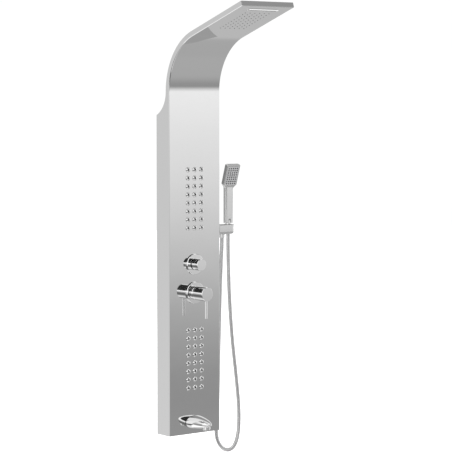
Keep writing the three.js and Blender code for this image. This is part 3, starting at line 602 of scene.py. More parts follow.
def make_head_end():
    """The end plate, rounded to the fold below and softly rolled over at its top edge."""
    half, height = PANEL["width"] / 2, HEAD["thickness"]
    corner = PANEL["corner"]
    outline = (arc((half - corner, corner), corner, -90, 0, 6) + arc((half - 1, height - 1), 1, 0, 90, 4)
               + arc((1 - half, height - 1), 1, 90, 180, 4)
               + arc((corner - half, corner), corner, 180, 270, 6))
    start = HEAD["length"] + 0.3
    return smooth(lofted("head_end", outline, soft_edges(start, start + SHEET, 0.9),
                         lambda u, v, along: row(*in_head(u, along, v))))


def make_slot_trim():
    """The waterfall mouth's bright obround trim."""
    length, width, proud = SLOT["length"], SLOT["width"], SLOT["proud"]
    flank = (proud - 0.7) * tan(SLOPE)  # leans so that its front stands upright in the room
    trim = lofted("slot_trim", slot_outline(length, width),
                  [(0, -0.3), (flank, 0.4 - proud), (flank + 0.15, 0.1 - proud), (flank + 0.5, -proud)],
                  slot_place)
    neck = lofted("slot_neck", slot_outline(length - 8, width - 4.4), [(0, -1), (0, 6)], slot_place)
    mouth = lofted("slot_mouth", slot_outline(length - 14, SLOT["opening"]),
                   [(-1.2, -proud - 0.1), (-0.5, 0.5 - proud), (0, 1.4 - proud), (0, 8)], slot_place)
    return smooth(cut(joined(trim, neck), mouth))


# ---- Jets ----
def jet_profile():
    """A round nozzle: a low dome with a shallow dish at its top."""
    radius, front = JET["radius"], PANEL["depth"]
    tip = front + JET["proud"]
    return filleted([(0, front - 3), (radius, front - 3), (radius, front + 1.2, 0.8),
                     (radius - 2.2, tip - 1.7, 3), (radius - 5.5, tip - 0.4, 0.8),
                     (radius - 5.7, tip - 1.4, 0.2), (0, tip - 1.4)], segments=4)


def jet_tip_profile():
    """The soft insert in a nozzle's dish, with its outlet hole."""
    tip = PANEL["depth"] + JET["proud"]
    radius = JET["radius"] - 5.8
    return filleted([(0, tip - 1.5), (radius, tip - 1.5), (radius, tip - 0.8, 0.3), (2.2, tip - 0.2, 0.5),
                     (1.6, tip, 0.3), (0.8, tip, 0.15), (0.7, tip - 1.4), (0, tip - 1.4)], segments=4)


def make_jets(mat):
    low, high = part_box(mat)
    back = -high.y / MM
    nozzles = [turned("nozzle", jet_profile(), place, sides=40) for place in jet_places(mat)]
    x, _, z = middle(mat)
    width, height = (high.x - low.x) / MM, (high.z - low.z) / MM
    backing = lofted("backing", rounded_box(width, height, 4), [(0, back), (0, back + 2.4)],
                     lambda u, v, forward: row(x + u, forward, z + v))
    return smooth(merged(mat.replace("mat", "nozzles"), [backing, *nozzles]), sharp=50)


def make_jet_tips(mat):
    tips = [turned("tip", jet_tip_profile(), place, sides=32) for place in jet_places(mat)]
    return smooth(merged(mat.replace("mat", "tips"), tips), sharp=50)


# ---- Diverter and mixer ----
def make_plate(node, bore):
    """A flat round wall plate with a soft edge."""
    place, outer, back, front = round_part(node)
    profile = filleted([(bore, back), (outer, back), (outer, front - 1.8, 0.9), (outer - 1.6, front, 0.9),
                        (bore, front, 0.4), (bore, back)])
    return smooth(turned(node + "_smooth", profile, place, sides=144))


def make_bonnet():
    """The chromed bonnet nut between the diverter's plate and knob."""
    place, radius, back, front = round_part("diverter_bonnet")
    profile = filleted([(15.3, back), (radius, back), (radius, front - 2, 0.8), (radius - 2, front, 0.6),
                        (8.3, front), (8.3, front - 3.7), (15.3, front - 3.7), (15.3, back)])
    return smooth(turned("diverter_bonnet_smooth", profile, place))


def make_knob(node, wall, floor, core, edge, holes):
    """A hollow round knob on a core, with holes bored up into it, each a (radius, forward, end)."""
    place, radius, back, front = round_part(node)
    profile = filleted([(0, back + core), (4.3, back + core), (4.3, back + floor),
                        (radius - wall, back + floor), (radius - wall, back), (radius, back, 0.4),
                        (radius, front - edge, 0.25), (radius - edge, front, 0.25), (0, front)])
    knob = turned(node + "_smooth", profile, place, sides=144)
    bores = [rod("bore", hole, -radius - 1, end, (place[0], PANEL["depth"] + forward, place[2]), axis="up")
             for hole, forward, end in holes]
    return smooth(cut(knob, *bores))


def make_diverter_knob():
    return make_knob("diverter_knob", wall=2, floor=11, core=22, edge=1.1, holes=[(2.3, 26, -4)])


def make_mixer_handle():
    return make_knob("mixer_handle", wall=2.1, floor=10, core=24, edge=1.2,
                     holes=[(2.3, 34, -4), (3.3, 64, -12)])


def make_lever():
    place, radius, bottom, top = upright_part("mixer_lever")
    shoulder = heights("mixer_handle")[0] - 0.3
    profile = filleted([(0, bottom), (radius, bottom, 0.8), (radius, shoulder, 0.3), (3, shoulder), (3, top),
                        (0, top)])
    return smooth(turned("lever_smooth", profile, place, axis="up", sides=64))


def make_shroud():
    place, radius, back, front = round_part("mixer_shroud")
    bore, ledge = 13.2, back + 3.6
    profile = filleted([(bore, ledge), (radius - 1.7, ledge), (radius - 1.7, back), (radius, back, 0.4),
                        (radius, front - 1.6, 0.8), (radius - 1.6, front, 0.5), (bore, front), (bore, ledge)])
    return smooth(turned("mixer_shroud_smooth", profile, place, sides=120))


# ---- Spout ----
def make_spout():
    """Half of a flat ellipsoid that narrows and sinks towards its nose, and the aerator's boss below it."""
    x0, _, z0 = middle("spout_lock_nut")
    reach_steps, round_steps = 72, 112
    points = []
    for i in range(reach_steps + 1):
        polar = pi * i / reach_steps / 2
        reach = cos(polar)
        width = sin(polar) * (1 - SPOUT["taper"] * reach)
        for j in range(round_steps if i else 1):
            turn = 2 * pi * j / round_steps
            x = SPOUT["half_width"] * width * cos(turn)
            z = SPOUT["half_height"] * width * sin(turn) - SPOUT["droop"] * reach ** 2
            points.append(row(x0 + x, PANEL["depth"] + 1.6 + (SPOUT["reach"] - 1.6) * reach, z0 + z))
    nose_fan = [[0, 1 + j, 1 + (j + 1) % round_steps] for j in range(round_steps)]
    sides = [[1 + i for i in face] for face in bands(reach_steps, round_steps)]
    back = [1 + (reach_steps - 1) * round_steps + j for j in range(round_steps)]
    body = from_faces("spout_smooth", points, [*nose_fan, *sides, back])
    nose_at = (x0, PANEL["depth"] + SPOUT["aerator_at"], z0)
    bore = SPOUT["aerator"] + 0.3
    nose = turned("nose", filleted([(0, -17.2), (bore + 1.7, -17.2, 0.7), (bore + 1.7, -2), (0, -2)]),
                  nose_at, axis="up")
    recess = rod("recess", bore, -30, -6.2, nose_at, axis="up", sides=96)
    tail = rod("tail", 10, -20, 5, (x0, PANEL["depth"], z0))
    return smooth(cut(joined(body, nose, tail), recess), sharp=50)


def make_aerator():
    place, radius, bottom, top = upright_part("spout_aerator")
    profile = filleted([(radius - 2.4, bottom + 1, 0.3), (radius - 1.9, bottom, 0.3), (radius, bottom, 0.7),
                        (radius, top), (radius - 2.4, top), (radius - 2.4, bottom + 1)])
    return smooth(turned("aerator_smooth", profile, place, axis="up"))


def make_aerator_screen():
    """The plastic grid inside the aerator: six bars each way."""
    (x, forward, _), outer, bottom, _ = upright_part("spout_aerator")
    radius = outer - 2.5
    bars = []
    for lift, (across, ahead) in ((1.6, (1, 0)), (1.8, (0, 1))):
        for offset in spread(6, 3):
            length = 2 * sqrt(radius ** 2 - offset ** 2)
            size = (0.8, length) if across else (length, 0.8)
            centre = (x + offset * across, forward + offset * ahead)
            levels = [(0, bottom + lift), (0, bottom + lift + 2.4)]
            bars.append(lofted("bar", rounded_box(*size, 0.3, 3), levels,
                               lambda u, v, z, centre=centre: row(centre[0] + u, centre[1] + v, z)))
    return smooth(merged("aerator_screen", bars))


# ---- Hand-shower cradle ----
def bar_plan(start, radius):
    """The bar seen from above: square at its start and round at its outer end."""
    return [(start, -radius), *arc((HOLDER["seat"], 0), radius, -90, 90, 28), (start, radius)]


def holder_place(x, v, height):
    return row(x, HOLDER["forward"] + v, height)


SEAT = {"top_radius": 13.6, "bottom_radius": 10, "slot": 16, "liner": 1.2, "flange": 1.4}
SEAT_AT = (HOLDER["seat"], HOLDER["forward"], 0)


def seat_cutters(depth):
    """The tapered seat and the slot for the hose, made smaller by a depth."""
    low, high = HOLDER["bottom"] - 1, HOLDER["top"] + 1 + SEAT["flange"]
    half = SEAT["slot"] / 2 - depth
    end = HOLDER["seat"] + HOLDER["radius"] + 5
    wide, narrow = SEAT["top_radius"] - depth, SEAT["bottom_radius"] - depth
    cone = turned("seat", [(0, low), (narrow, low), (wide, high), (0, high)], SEAT_AT, axis="up")
    slot = lofted("seat_slot", rectangle(HOLDER["seat"], end, -half, half), [(0, low), (0, high)],
                  holder_place)
    return cone, slot


def make_cradle():
    """A bar out from the panel's side, round below, with the seat in its end and a pipe into the panel."""
    bottom, top = HOLDER["bottom"], HOLDER["top"]
    side = PANEL["width"] / 2
    body = lofted("cradle_smooth", bar_plan(side - 14, HOLDER["radius"]),
                  between_rims(bottom, top, rim(9, 12), rim(2.5, 6)), holder_place)
    inside = lofted("inside", rectangle(side - 30, side + 0.1, -40, 40), [(0, bottom - 5), (0, top + 5)],
                    holder_place)
    tail = rod("tail", 9, side - 15, HOLDER["outlet"], (0, HOLDER["forward"], HOLDER["neck"]), axis="right")
    return smooth(joined(cut(body, inside, *seat_cutters(0)), tail))


def make_liner():
    """The rubber that lines the seat and covers the bar's top."""
    low, top = HOLDER["bottom"] + 1, HOLDER["top"]
    flange = lofted("cradle_liner_smooth", bar_plan(PANEL["width"] / 2 + 0.4, HOLDER["radius"] - 0.4),
                    soft_edges(top - 1.8, top + SEAT["flange"], 0.4), holder_place)
    sleeve = turned("sleeve", [(0, low), (SEAT["bottom_radius"] - 0.1, low),
                               (SEAT["top_radius"] - 0.5, top + 0.6), (0, top + 0.6)], SEAT_AT, axis="up")
    return smooth(joined(*[cut(solid, *seat_cutters(SEAT["liner"])) for solid in (flange, sleeve)]))


def make_outlet_nut():
    """A round coupling nut with grip flutes."""
    (x, forward, _), radius, bottom, top = upright_part("hose_outlet_nut")
    profile = filleted([(0, bottom), (radius - 1.2, bottom, 0.4), (radius, bottom + 1.4, 0.5),
                        (radius, top, 0.5), (0, top)])
    nut = turned("outlet_nut_smooth", profile, (x, forward, 0), axis="up")
    ring, count = radius + 0.35, 20
    flutes = [rod("flute", 0.8, bottom + 2.6, top - 1.4,
                  (x + ring * cos(turn), forward + ring * sin(turn), 0), axis="up", sides=12)
              for turn in (2 * pi * i / count for i in range(count))]
    return smooth(cut(nut, merged("flutes", flutes)))


# ---- Hand shower ----
def handle_place(u, v, height):
    return row(HOLDER["seat"] + u, HOLDER["forward"] + v, HANDLE["bottom"] + height)


def spray_point(x, forward, z):
    """A place in the spray head's own frame, which leans forward at the handle's top."""
    tilt = SPRAY["tilt"]
    rise = HANDLE["length"] - 4
    return (HOLDER["seat"] + x, HOLDER["forward"] + forward * cos(tilt) + z * sin(tilt),
            HANDLE["bottom"] + rise + z * cos(tilt) - forward * sin(tilt))


def spray_place(u, v, forward):
    return row(*spray_point(u, forward, v))


def face_place(u, v, forward):
    return spray_place(u, v + FACE["middle"], forward)


def spray_outline():
    """The head's face view: a short flare from the handle, straight sides and small round corners."""
    wide, neck, top = SPRAY["width"] / 2, HANDLE["width"] / 2, SPRAY["length"]
    right = filleted([(0, -3), (neck, -3), (neck, 2, 2), (wide, 15, 2), (wide, top, 3.5), (0, top)],
                     segments=8)
    return right + [(-x, z) for x, z in reversed(right) if x > 1e-6]


def make_handset():
    """The hand shower's body: a flat head on a straight grip, hollow at its foot."""
    half = SPRAY["thickness"] / 2
    head = lofted("handset_smooth", spray_outline(), soft_edges(-half, half, 1.6, 5), spray_place)
    grip = lofted("grip", rounded_box(HANDLE["width"], HANDLE["depth"], HANDLE["corner"], 10),
                  [(0.8, 0), (0.25, 0.25), (0, 0.8), (0, HANDLE["length"] - 1)], handle_place)
    recess = lofted("recess", rounded_box(FACE["width"], FACE["height"], 3),
                    [(0, half - 1.8), (0, half + 2)], face_place)
    arch = lofted("arch", arc((0, 9), 5, 0, 180, 16) + [(-5, -1), (5, -1)], [(0, 0), (0, 12)],
                  lambda u, v, forward: handle_place(u, forward, v))
    seat = (HOLDER["seat"], HOLDER["forward"], HANDLE["bottom"])
    bore = rod("bore", 8.4, -1, 14, seat, axis="up")
    return smooth(cut(joined(head, grip), recess, arch, bore), sharp=32)


def nozzle_places():
    return [spray_point(x, 0, FACE["middle"] + z) for x in spread(SPRAY["columns"], SPRAY["pitch_x"])
            for z in spread(SPRAY["rows"], SPRAY["pitch_z"])]


def spray_frame():
    """The spray head's own directions: across, up its face, and out of its face."""
    tilt = SPRAY["tilt"]
    up = UP * cos(tilt) + FORWARD * sin(tilt)
    return RIGHT, up, FORWARD * cos(tilt) - UP * sin(tilt)


def make_face():
    half = SPRAY["thickness"] / 2
    plate = lofted("face_smooth", rounded_box(FACE["width"] - 0.6, FACE["height"] - 0.6, 2.8),
                   [(0, half - 1.5), (0, half), (0.5, half + 0.4)], face_place)
    holes = [rod("hole", 2.75, half - 4, half + 2, place, sides=24, frame_of=spray_frame())
             for place in nozzle_places()]
    return smooth(cut(plate, merged("holes", holes)))


def make_nozzles():
    """Soft tips that stand a little proud of the grey face, each with its outlet hole."""
    half = SPRAY["thickness"] / 2
    profile = filleted([(0, half - 2.8), (2.5, half - 2.8), (2.3, half + 0.7, 0.6), (0.7, half + 1.1, 0.2),
                        (0.6, half), (0, half)], segments=3)
    tips = [turned("tip", profile, place, sides=20, frame_of=spray_frame()) for place in nozzle_places()]
    mat = lofted("mat", rounded_box(FACE["width"] - 6, FACE["height"] - 6, 2),
                 [(0, half - 3.4), (0, half - 1.8)], face_place)
    return smooth(merged("handset_tips", [mat, *tips]), sharp=50)


def make_cone():
    seat = (HOLDER["seat"], HOLDER["forward"], HANDLE["bottom"])
    profile = filleted([(0, -38), (7.6, -38, 0.6), (7.8, -30, 3), (10.8, -6, 2), (10.8, -0.3, 0.5),
                        (8, -0.3), (8, 9), (5, 9), (5, -20), (0, -20)])
    return smooth(turned("hose_cone_smooth", profile, seat, axis="up"))


# ---- Feed hoses behind the panel ----
FEED = {"radius": 5.5, "head_radius": 4.6, "lead": 10, "gap": 0.3, "in_head": 8.6, "behind": 31}


def round_bend(from_x, to_x):
    """Places round the bend, midway through the head's thickness."""
    radius = BEND["radius"] + FEED["in_head"]
    shares = [0, 0.2, 0.4, 0.6, 0.8, 1]
    return [(from_x + (to_x - from_x) * share, BEND_CENTRE - radius * cos(share * BEND["sweep"]),
             PANEL["straight"] + radius * sin(share * BEND["sweep"])) for share in shares]


def feed_routes():
    """Where each hose runs, as places listed between the fittings at its two ends."""
    gap = FEED["gap"]
    end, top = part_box("diverter_body")[1].x / MM + gap, heights("diverter_body")[1] + gap
    depth = PANEL["depth"] - FEED["behind"]
    _, _, diverter_z = middle("diverter_knob")
    high_z, low_z = diverter_z + 22, diverter_z - 22
    jets = PANEL["depth"] - 12.6
    upper, lower = heights("upper_jet_chamber")[0] - gap, heights("lower_jet_chamber")[1] + gap
    lead, inside = FEED["lead"], FEED["in_head"]
    rain, fall = RAIN["first"] - 21.3, SLOT["along"] - 21.3
    _, _, spout_z = middle("spout_lock_nut")
    outlet_x = PANEL["width"] / 2 - 15.3
    outlet = (HOLDER["forward"], HOLDER["neck"])
    return {
        "rain_feed_hose": [(-end, depth, high_z), (-end - lead, depth, high_z), (-66, 38, 622),
                           (-76, 34, 660), (-78, 32, 760), (-78, 32, 900), (-78, 34, 1020), (-78, 48, 1110),
                           *round_bend(-76, -42), in_head(-40, rain - lead, inside),
                           in_head(-40, rain, inside)],
        "waterfall_feed_hose": [(end, depth, low_z), (end + lead, depth, low_z), (60, 32, 576), (67, 22, 610),
                                (67, 20, 700), (68, 20, 840), (72, 26, 980), (76, 44, 1100),
                                *round_bend(76, 76), *[in_head(76, along, inside)
                                                       for along in (60, 140, fall - lead, fall)]],
        "jet_feed_hose": [(0, depth, top), (0, depth, top + lead), (0, jets, upper - lead), (0, jets, upper)],
        "jet_link_hose": [(-30, jets, upper), (-30, jets, upper - 8), (-44, jets, 654), (-58, jets, 620),
                          (-61, jets, 560), (-61, jets, 480), (-54, jets, 425), (-32, jets, lower + 16),
                          (-30, jets, lower + 7), (-30, jets, lower)],
        "handset_feed_hose": [(end, depth, high_z), (end + lead, depth, high_z), (64, 46, 618), (74, 49, 640),
                              (78, 49, 664), (80, 49, 688), (outlet_x - 7, *outlet), (outlet_x, *outlet)],
        "spout_feed_hose": [(-end, depth, low_z), (-end - lead, depth, low_z), (-66, 36, 560), (-80, 28, 530),
                            (-84, 24, 440), (-84, 24, 300), (-84, 24, 180), (-72, 26, 90), (-36, 28, 50),
                            (-8, 34, spout_z), (0, PANEL["depth"] - 26.3, spout_z),
                            (0, PANEL["depth"] - 20.3, spout_z)],
    }


def mark_around(obj, sides, stations, radius):
    """A UV map that runs once round the hose and along it in the same measure, for its weave."""
    layer = obj.data.uv_layers.new(name="weave")
    for face in obj.data.polygons:
        wraps = {0, sides - 1} <= {v % sides for v in face.vertices}
        for loop in face.loop_indices:
            ring, i = divmod(obj.data.loops[loop].vertex_index, sides)
            across = sides if wraps and i == 0 else i
            layer.data[loop].uv = (across / sides, stations[ring] / (2 * pi * radius))


def make_feed(node, route):
    """A braided hose with a crimped sleeve on each end."""
    in_the_head = node in ("rain_feed_hose", "waterfall_feed_hose")
    radius = FEED["head_radius"] if in_the_head else FEED["radius"]
    _, length = smooth_line(route)
    step, sides = 5, 20
    stations = np.linspace(0, length, ceil(length / step) + 1)
    hose, _ = tube(node + "_woven", route, lambda distance: radius, stations, sides)
    mark_around(hose, sides, stations, radius)
    hose.data.shade_smooth()
    hose.data.set_sharp_from_angle(angle=radians(60))
    grip = radius + 0.55
    sleeves = []
    for first, second in ((route[0], route[1]), (route[-1], route[-2])):
        along = (row(*second) - row(*first)).normalized()
        side = along.cross(UP if abs(along.z) < 0.9 else RIGHT).normalized()
        profile = filleted([(radius - 1, 0), (grip, 0, 0.3), (grip, 2.4, 0.2), (grip - 0.5, 2.8),
                            (grip - 0.5, 4.2), (grip, 4.6, 0.2), (grip, 8.6, 0.4), (radius - 1, 9),
                            (radius - 1, 0)], segments=3)
        sleeves.append(turned("sleeve", profile, first, sides=32, frame_of=(side, along.cross(side), along)))
    return hose, smooth(merged(node + "_sleeves", sleeves))


# ---- Materials ----
def new_material(name, **settings):
    """A material with values set straight on its shader's sockets."""
    material = bpy.data.materials.new(name)
    material.use_nodes = True
    for socket, value in settings.items():
        shader_socket(material, socket.replace("_", " ")).default_value = value
    return material


def shader_socket(material, name):
    return material.node_tree.nodes["Principled BSDF"].inputs[name]


def drive(material, socket, output):
    """Lets a node's output set one of the shader's sockets."""
    material.node_tree.links.new(output, shader_socket(material, socket))


def add_node(tree, kind, *inputs, **values):
    """A node with its properties and inputs; an input is a value or another node's output."""
    node = tree.nodes.new(kind)
    sockets = list(zip(node.inputs, inputs))
    for name, value in values.items():
        title = name.replace("_", " ")
        if title in node.inputs:
            sockets.append((node.inputs[title], value))
        else:
            setattr(node, name, value)
    for socket, value in sockets:
        if isinstance(value, bpy.types.NodeSocket):
            tree.links.new(value, socket)
        elif value is not None:
            socket.default_value = value
    return node


def maths(tree, operation, *inputs):
    return add_node(tree, "ShaderNodeMath", *inputs, operation=operation).outputs[0]


def noise(tree, scale, detail, stretch=(1, 1, 1)):
    """Noise in the object's own coordinates, in metres, stretched along an axis where wanted."""
    place = add_node(tree, "ShaderNodeTexCoord").outputs["Object"]
    stretched = add_node(tree, "ShaderNodeMapping", Vector=place, Scale=stretch).outputs["Vector"]
    return add_node(tree, "ShaderNodeTexNoise", Vector=stretched, Scale=scale, Detail=detail).outputs["Fac"]


def spread_over(tree, factor, low, high):
    return add_node(tree, "ShaderNodeMapRange", Value=factor, From_Min=0.3, From_Max=0.7,
                    To_Min=low, To_Max=high).outputs["Result"]


def bump(tree, height, strength, distance):
    node = add_node(tree, "ShaderNodeBump", Strength=strength, Distance=distance, Height=height)
    return node.outputs["Normal"]


def mixed_colour(tree, factor, one, two):
    node = add_node(tree, "ShaderNodeMix", factor, data_type="RGBA")
    colours = [socket for socket in node.inputs if socket.type == "RGBA"]
    colours[0].default_value, colours[1].default_value = (*one, 1), (*two, 1)
    return [socket for socket in node.outputs if socket.type == "RGBA"][0]


def metal(name, colour, rough, uneven, wave=0.0, grain=None):
    """Metal with an uneven polish: wave is a slow swell of its surface, grain a fine stretched brushing."""
    material = new_material(name, Metallic=1.0, Base_Color=(*colour, 1), Roughness=rough)
    tree = material.node_tree
    drive(material, "Roughness", spread_over(tree, noise(tree, 38, 5), rough, rough + uneven))
    if wave:
        drive(material, "Normal", bump(tree, noise(tree, 9, 1), 1.0, wave))
    if grain:
        scale, stretch, depth = grain
        drive(material, "Normal", bump(tree, noise(tree, scale, 4, stretch), 1.0, depth))
    return material


def plastic(name, one, two, rough, grain_depth):
    """Plastic or rubber with two close tones, an uneven gloss and a fine moulded grain."""
    material = new_material(name, Base_Color=(*one, 1), Roughness=rough)
    tree = material.node_tree
    drive(material, "Base Color", mixed_colour(tree, noise(tree, 60, 4), one, two))
    drive(material, "Roughness", spread_over(tree, noise(tree, 240, 3), rough * 0.85, rough * 1.15))
    drive(material, "Normal", bump(tree, noise(tree, 2600, 2), 0.6, grain_depth))
    return material


def braid(strands=8, slant=0.8):
    """Woven steel wire: two families of strands that wind round the hose in opposite directions."""
    material = new_material("braided_wire", Metallic=1.0, Roughness=0.3)
    tree = material.node_tree
    weave = add_node(tree, "ShaderNodeUVMap", uv_map="weave").outputs["UV"]
    around, along, _ = add_node(tree, "ShaderNodeSeparateXYZ", weave).outputs
    waves = []
    for lean in (slant, -slant):
        place = maths(tree, "ADD", around, maths(tree, "MULTIPLY", along, lean))
        waves.append(maths(tree, "SINE", maths(tree, "MULTIPLY", place, 2 * pi * strands)))
    crossing = maths(tree, "MAXIMUM", *waves)
    dark, bright = (0.12, 0.12, 0.125), (0.74, 0.75, 0.76)
    drive(material, "Base Color", mixed_colour(tree, spread_over(tree, crossing, 0, 1), dark, bright))
    drive(material, "Normal", bump(tree, crossing, 0.8, 0.0004))
    return material


MATERIALS = {
    "polished_steel": metal("polished_steel", (0.80, 0.80, 0.80), 0.035, 0.03, wave=0.00012),
    "chrome": metal("chrome", (0.93, 0.93, 0.93), 0.03, 0.03),
    "satin_chrome": metal("satin_chrome", (0.80, 0.80, 0.80), 0.17, 0.05),
    "hose_metal": metal("hose_metal", (0.80, 0.80, 0.805), 0.1, 0.1),
    "zinc_steel": metal("zinc_steel", (0.62, 0.64, 0.66), 0.34, 0.2, grain=(420, (1, 1, 1), 0.00008)),
    "brass": metal("brass", (0.80, 0.62, 0.30), 0.26, 0.18, grain=(900, (1, 0.08, 1), 0.00004)),
    "braided_hose": braid(),
    "white_plastic": plastic("white_plastic", (0.78, 0.78, 0.76), (0.70, 0.70, 0.68), 0.42, 0.00006),
    "grey_plastic": plastic("grey_plastic", (0.36, 0.36, 0.365), (0.33, 0.33, 0.335), 0.3, 0.00003),
    "black_rubber": plastic("black_rubber", (0.012, 0.012, 0.013), (0.022, 0.022, 0.023), 0.5, 0.00004),
}


def paint(obj, material):
    obj.data.materials.clear()
    obj.data.materials.append(MATERIALS[material])


def dressed(piece, material, body, *nodes):
    """Gives a piece its material and slot, puts it in place of its CAD nodes and lets it ride on a body."""
    paint(piece, material)
    if nodes:
        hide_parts(*nodes)
    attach(piece, body)


# The CAD nodes that stay on show get their slot's material.
for part in frame["record"]["subparts"]:
    paint(frame["nodes"][part["node"]], part["material_slot"])

paint(shower_hose, "hose_metal")
dressed(make_shell(), "polished_steel", "column", "front_shell")
dressed(make_rain_tips(), "black_rubber", "column")
dressed(make_head_top(), "polished_steel", "column", "head_top_cover")
dressed(make_head_end(), "polished_steel", "column", "head_end_cap")
dressed(make_slot_trim(), "chrome", "column", "waterfall_lip")
for jet_mat in JET_MATS:
    dressed(make_jets(jet_mat), "chrome", "column", jet_mat)
    dressed(make_jet_tips(jet_mat), "black_rubber", "column")
dressed(make_plate("diverter_escutcheon", 17.4), "chrome", "column", "diverter_escutcheon")
dressed(make_plate("mixer_escutcheon", 22.4), "chrome", "column", "mixer_escutcheon")
dressed(make_bonnet(), "chrome", "column", "diverter_bonnet")
dressed(make_diverter_knob(), "chrome", "diverter_control", "diverter_knob")
dressed(make_shroud(), "chrome", "column", "mixer_shroud")
dressed(make_mixer_handle(), "chrome", "mixer_control", "mixer_handle")
dressed(make_lever(), "chrome", "mixer_control", "mixer_lever")
dressed(make_spout(), "chrome", "column", "spout_body")
dressed(make_aerator(), "chrome", "column", "spout_aerator")
dressed(make_aerator_screen(), "white_plastic", "column")
dressed(make_cradle(), "satin_chrome", "column", "handset_cradle")
dressed(make_liner(), "black_rubber", "column", "cradle_liner")
dressed(make_outlet_nut(), "chrome", "column", "hose_outlet_nut")
dressed(make_handset(), "satin_chrome", "hand_shower", "handset_body")
dressed(make_face(), "grey_plastic", "hand_shower", "handset_faceplate")
dressed(make_nozzles(), "black_rubber", "hand_shower", "handset_nozzle_mat")
dressed(make_cone(), "chrome", "hand_shower", "hose_cone")
for feed_node, feed_route in feed_routes().items():
    woven, crimps = make_feed(feed_node, feed_route)
    dressed(woven, "braided_hose", "column", feed_node)
    dressed(crimps, "zinc_steel", "column")


# ---- Stage and light ----
def make_floor():
    """A plain pale floor, left out of mirror reflections."""
    z = CAD_BOX[0][2] - 0.004
    floor = from_faces("floor", [(x, y, z) for x, y in rectangle(-9, 9, -9, 9)], [[0, 1, 2, 3]])
    floor.data.materials.append(new_material("pale_floor", Base_Color=(0.85, 0.85, 0.85, 1), Roughness=0.9,
                                             Emission_Color=(1, 1, 1, 1), Emission_Strength=0.85))
    floor.visible_glossy = False


def make_light(name, place, aim, size, power):
    """A soft box that lights plastic and rubber, and doesn't show in the mirror surfaces."""
    data = bpy.data.lights.new(name, "AREA")
    data.shape = "DISK"
    data.size = size
    data.energy = power
    light = bpy.data.objects.new(name, data)
    light.location = place
    light.rotation_euler = (Vector(aim) - Vector(place)).to_track_quat("-Z", "Y").to_euler()
    light.visible_glossy = False
    bpy.context.scene.collection.objects.link(light)


# Brightness of the studio by elevation in degrees, one table for each part of the way round. Azimuth 0 is
# straight in front of the panel and 90 on its right. In front on the left there are dark cards, high and low,
# and beside them a grey one; in front on the right a bright band at eye level fades to grey below. A dark
# strip crosses the bright ceiling in front and on the left, and the walls behind are pale.
REAR_LEFT = [(-90, .8), (-60, 1.15), (-40, 1.1), (-25, .85), (-12, .77), (0, .69), (20, .69), (40, .4),
             (60, 1.1), (90, 1.1)]
SIDE_LEFT = [(-90, .5), (-50, .4), (-30, .3), (15, .3), (25, .6), (60, 1.0), (90, 1.1)]
LEFT = [(-90, .6), (-55, .5), (-45, .15), (-17, .12), (-13, .75), (-9, .95), (11, 1.1), (63, 1.05),
        (66, .15), (72, .15), (75, 1.05), (90, 1.1)]
DARK_STRIP = [(63, 1.0), (66, .15), (72, .15), (75, 1.0), (90, 1.15)]
FRONT_LEFT = [(-90, .8), (-42, 1.0), (-35, .7), (-28, .2), (-14, .15), (-10, .4), (-3, .5), (0, .8), (3, 1.2),
              (10, 1.2), (13, .03), (40, .03), (47, 1.0), *DARK_STRIP]
FRONT_RIGHT = [(-90, .46), (-67, .465), (-44, .475), (-31, .47), (-24, .46), (-19, .42), (-15, .375),
               (-11, .345), (-9.8, .345), (-9, .33), (-8.2, .357), (-7.4, .405), (-6.5, .47), (-5.4, .58),
               (-4.6, .655), (-3.2, .785), (-1.7, .9), (-.8, .95), (0, 1.03), (8, 1.05), (20, .55), (29, .34),
               (41, .42), (50, 1.0), *DARK_STRIP]
RIGHT = [(-90, .5), (-50, .46), (-38, .47), (-25, .5), (-14, .9), (-8, 1.05), (8, 1.05), (20, .6), (40, .3),
         (57, 1.0), (90, 1.15)]
REAR_RIGHT = [(-90, .5), (-43, .5), (-31, .56), (-22, .5), (-14, .3), (12, .3), (20, .5), (40, .4),
              (58, 1.0), (90, 1.15)]
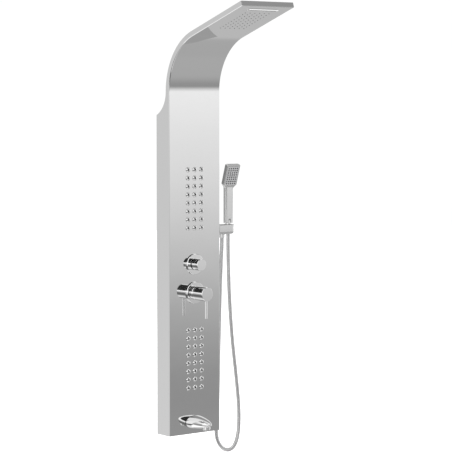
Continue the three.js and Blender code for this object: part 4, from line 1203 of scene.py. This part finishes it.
# Each step of the way round: the azimuths between which it goes over to the next table.
ROUND = [((-114, -108), SIDE_LEFT), ((-92, -86), LEFT), ((-44, -36), FRONT_LEFT), ((25, 33), FRONT_RIGHT),
         ((62, 80), RIGHT), ((120, 134), REAR_RIGHT), ((160, 178), REAR_LEFT)]
BRIGHTEST = 1.25


def brightness_by_height(tree, height, table):
    """Smooth steps of grey over the elevation, which runs from 0 straight down to 1 straight up."""
    node = add_node(tree, "ShaderNodeFloatCurve", Value=height)
    curve = node.mapping.curves[0]
    points = [((elevation + 90) / 180, value / BRIGHTEST) for elevation, value in table]
    curve.points[0].location = points[0]
    curve.points[-1].location = points[-1]
    for place in points[1:-1]:
        curve.points.new(*place)
    for point in curve.points:
        point.handle_type = "AUTO_CLAMPED"
    node.mapping.update()
    return maths(tree, "MULTIPLY", node.outputs["Value"], BRIGHTEST)


def between(tree, value, low, high):
    return add_node(tree, "ShaderNodeMapRange", Value=value, From_Min=low, From_Max=high,
                    interpolation_type="SMOOTHSTEP").outputs["Result"]


def blended(tree, share, one, two):
    return add_node(tree, "ShaderNodeMix", share, None, one, two).outputs[0]


def make_world():
    """A plain studio: white behind the object, and around it grey walls that change with direction."""
    world = bpy.data.worlds.new("studio")
    bpy.context.scene.world = world
    world.use_nodes = True
    tree = world.node_tree
    direction = add_node(tree, "ShaderNodeTexCoord").outputs["Generated"]
    x, y, z = add_node(tree, "ShaderNodeSeparateXYZ", direction).outputs
    height = maths(tree, "MULTIPLY_ADD", maths(tree, "ARCSINE", z), 1 / pi, 0.5)
    azimuth = maths(tree, "ARCTAN2", x, maths(tree, "MULTIPLY", y, -1))
    around = brightness_by_height(tree, height, REAR_LEFT)
    for (start, end), table in ROUND:
        share = between(tree, azimuth, radians(start), radians(end))
        around = blended(tree, share, around, brightness_by_height(tree, height, table))
    seen = add_node(tree, "ShaderNodeLightPath").outputs["Is Camera Ray"]
    tree.links.new(blended(tree, seen, around, 1.02), tree.nodes["Background"].inputs["Color"])


make_floor()
make_world()
make_light("key", (-2.5, -3.5, 2.5), (0, 0, -0.2), 2.0, 90)
make_light("fill", (1.5, 3.5, 1.5), (0, 0, -0.2), 2.5, 80)
bpy.context.scene.view_settings.view_transform = "Standard"
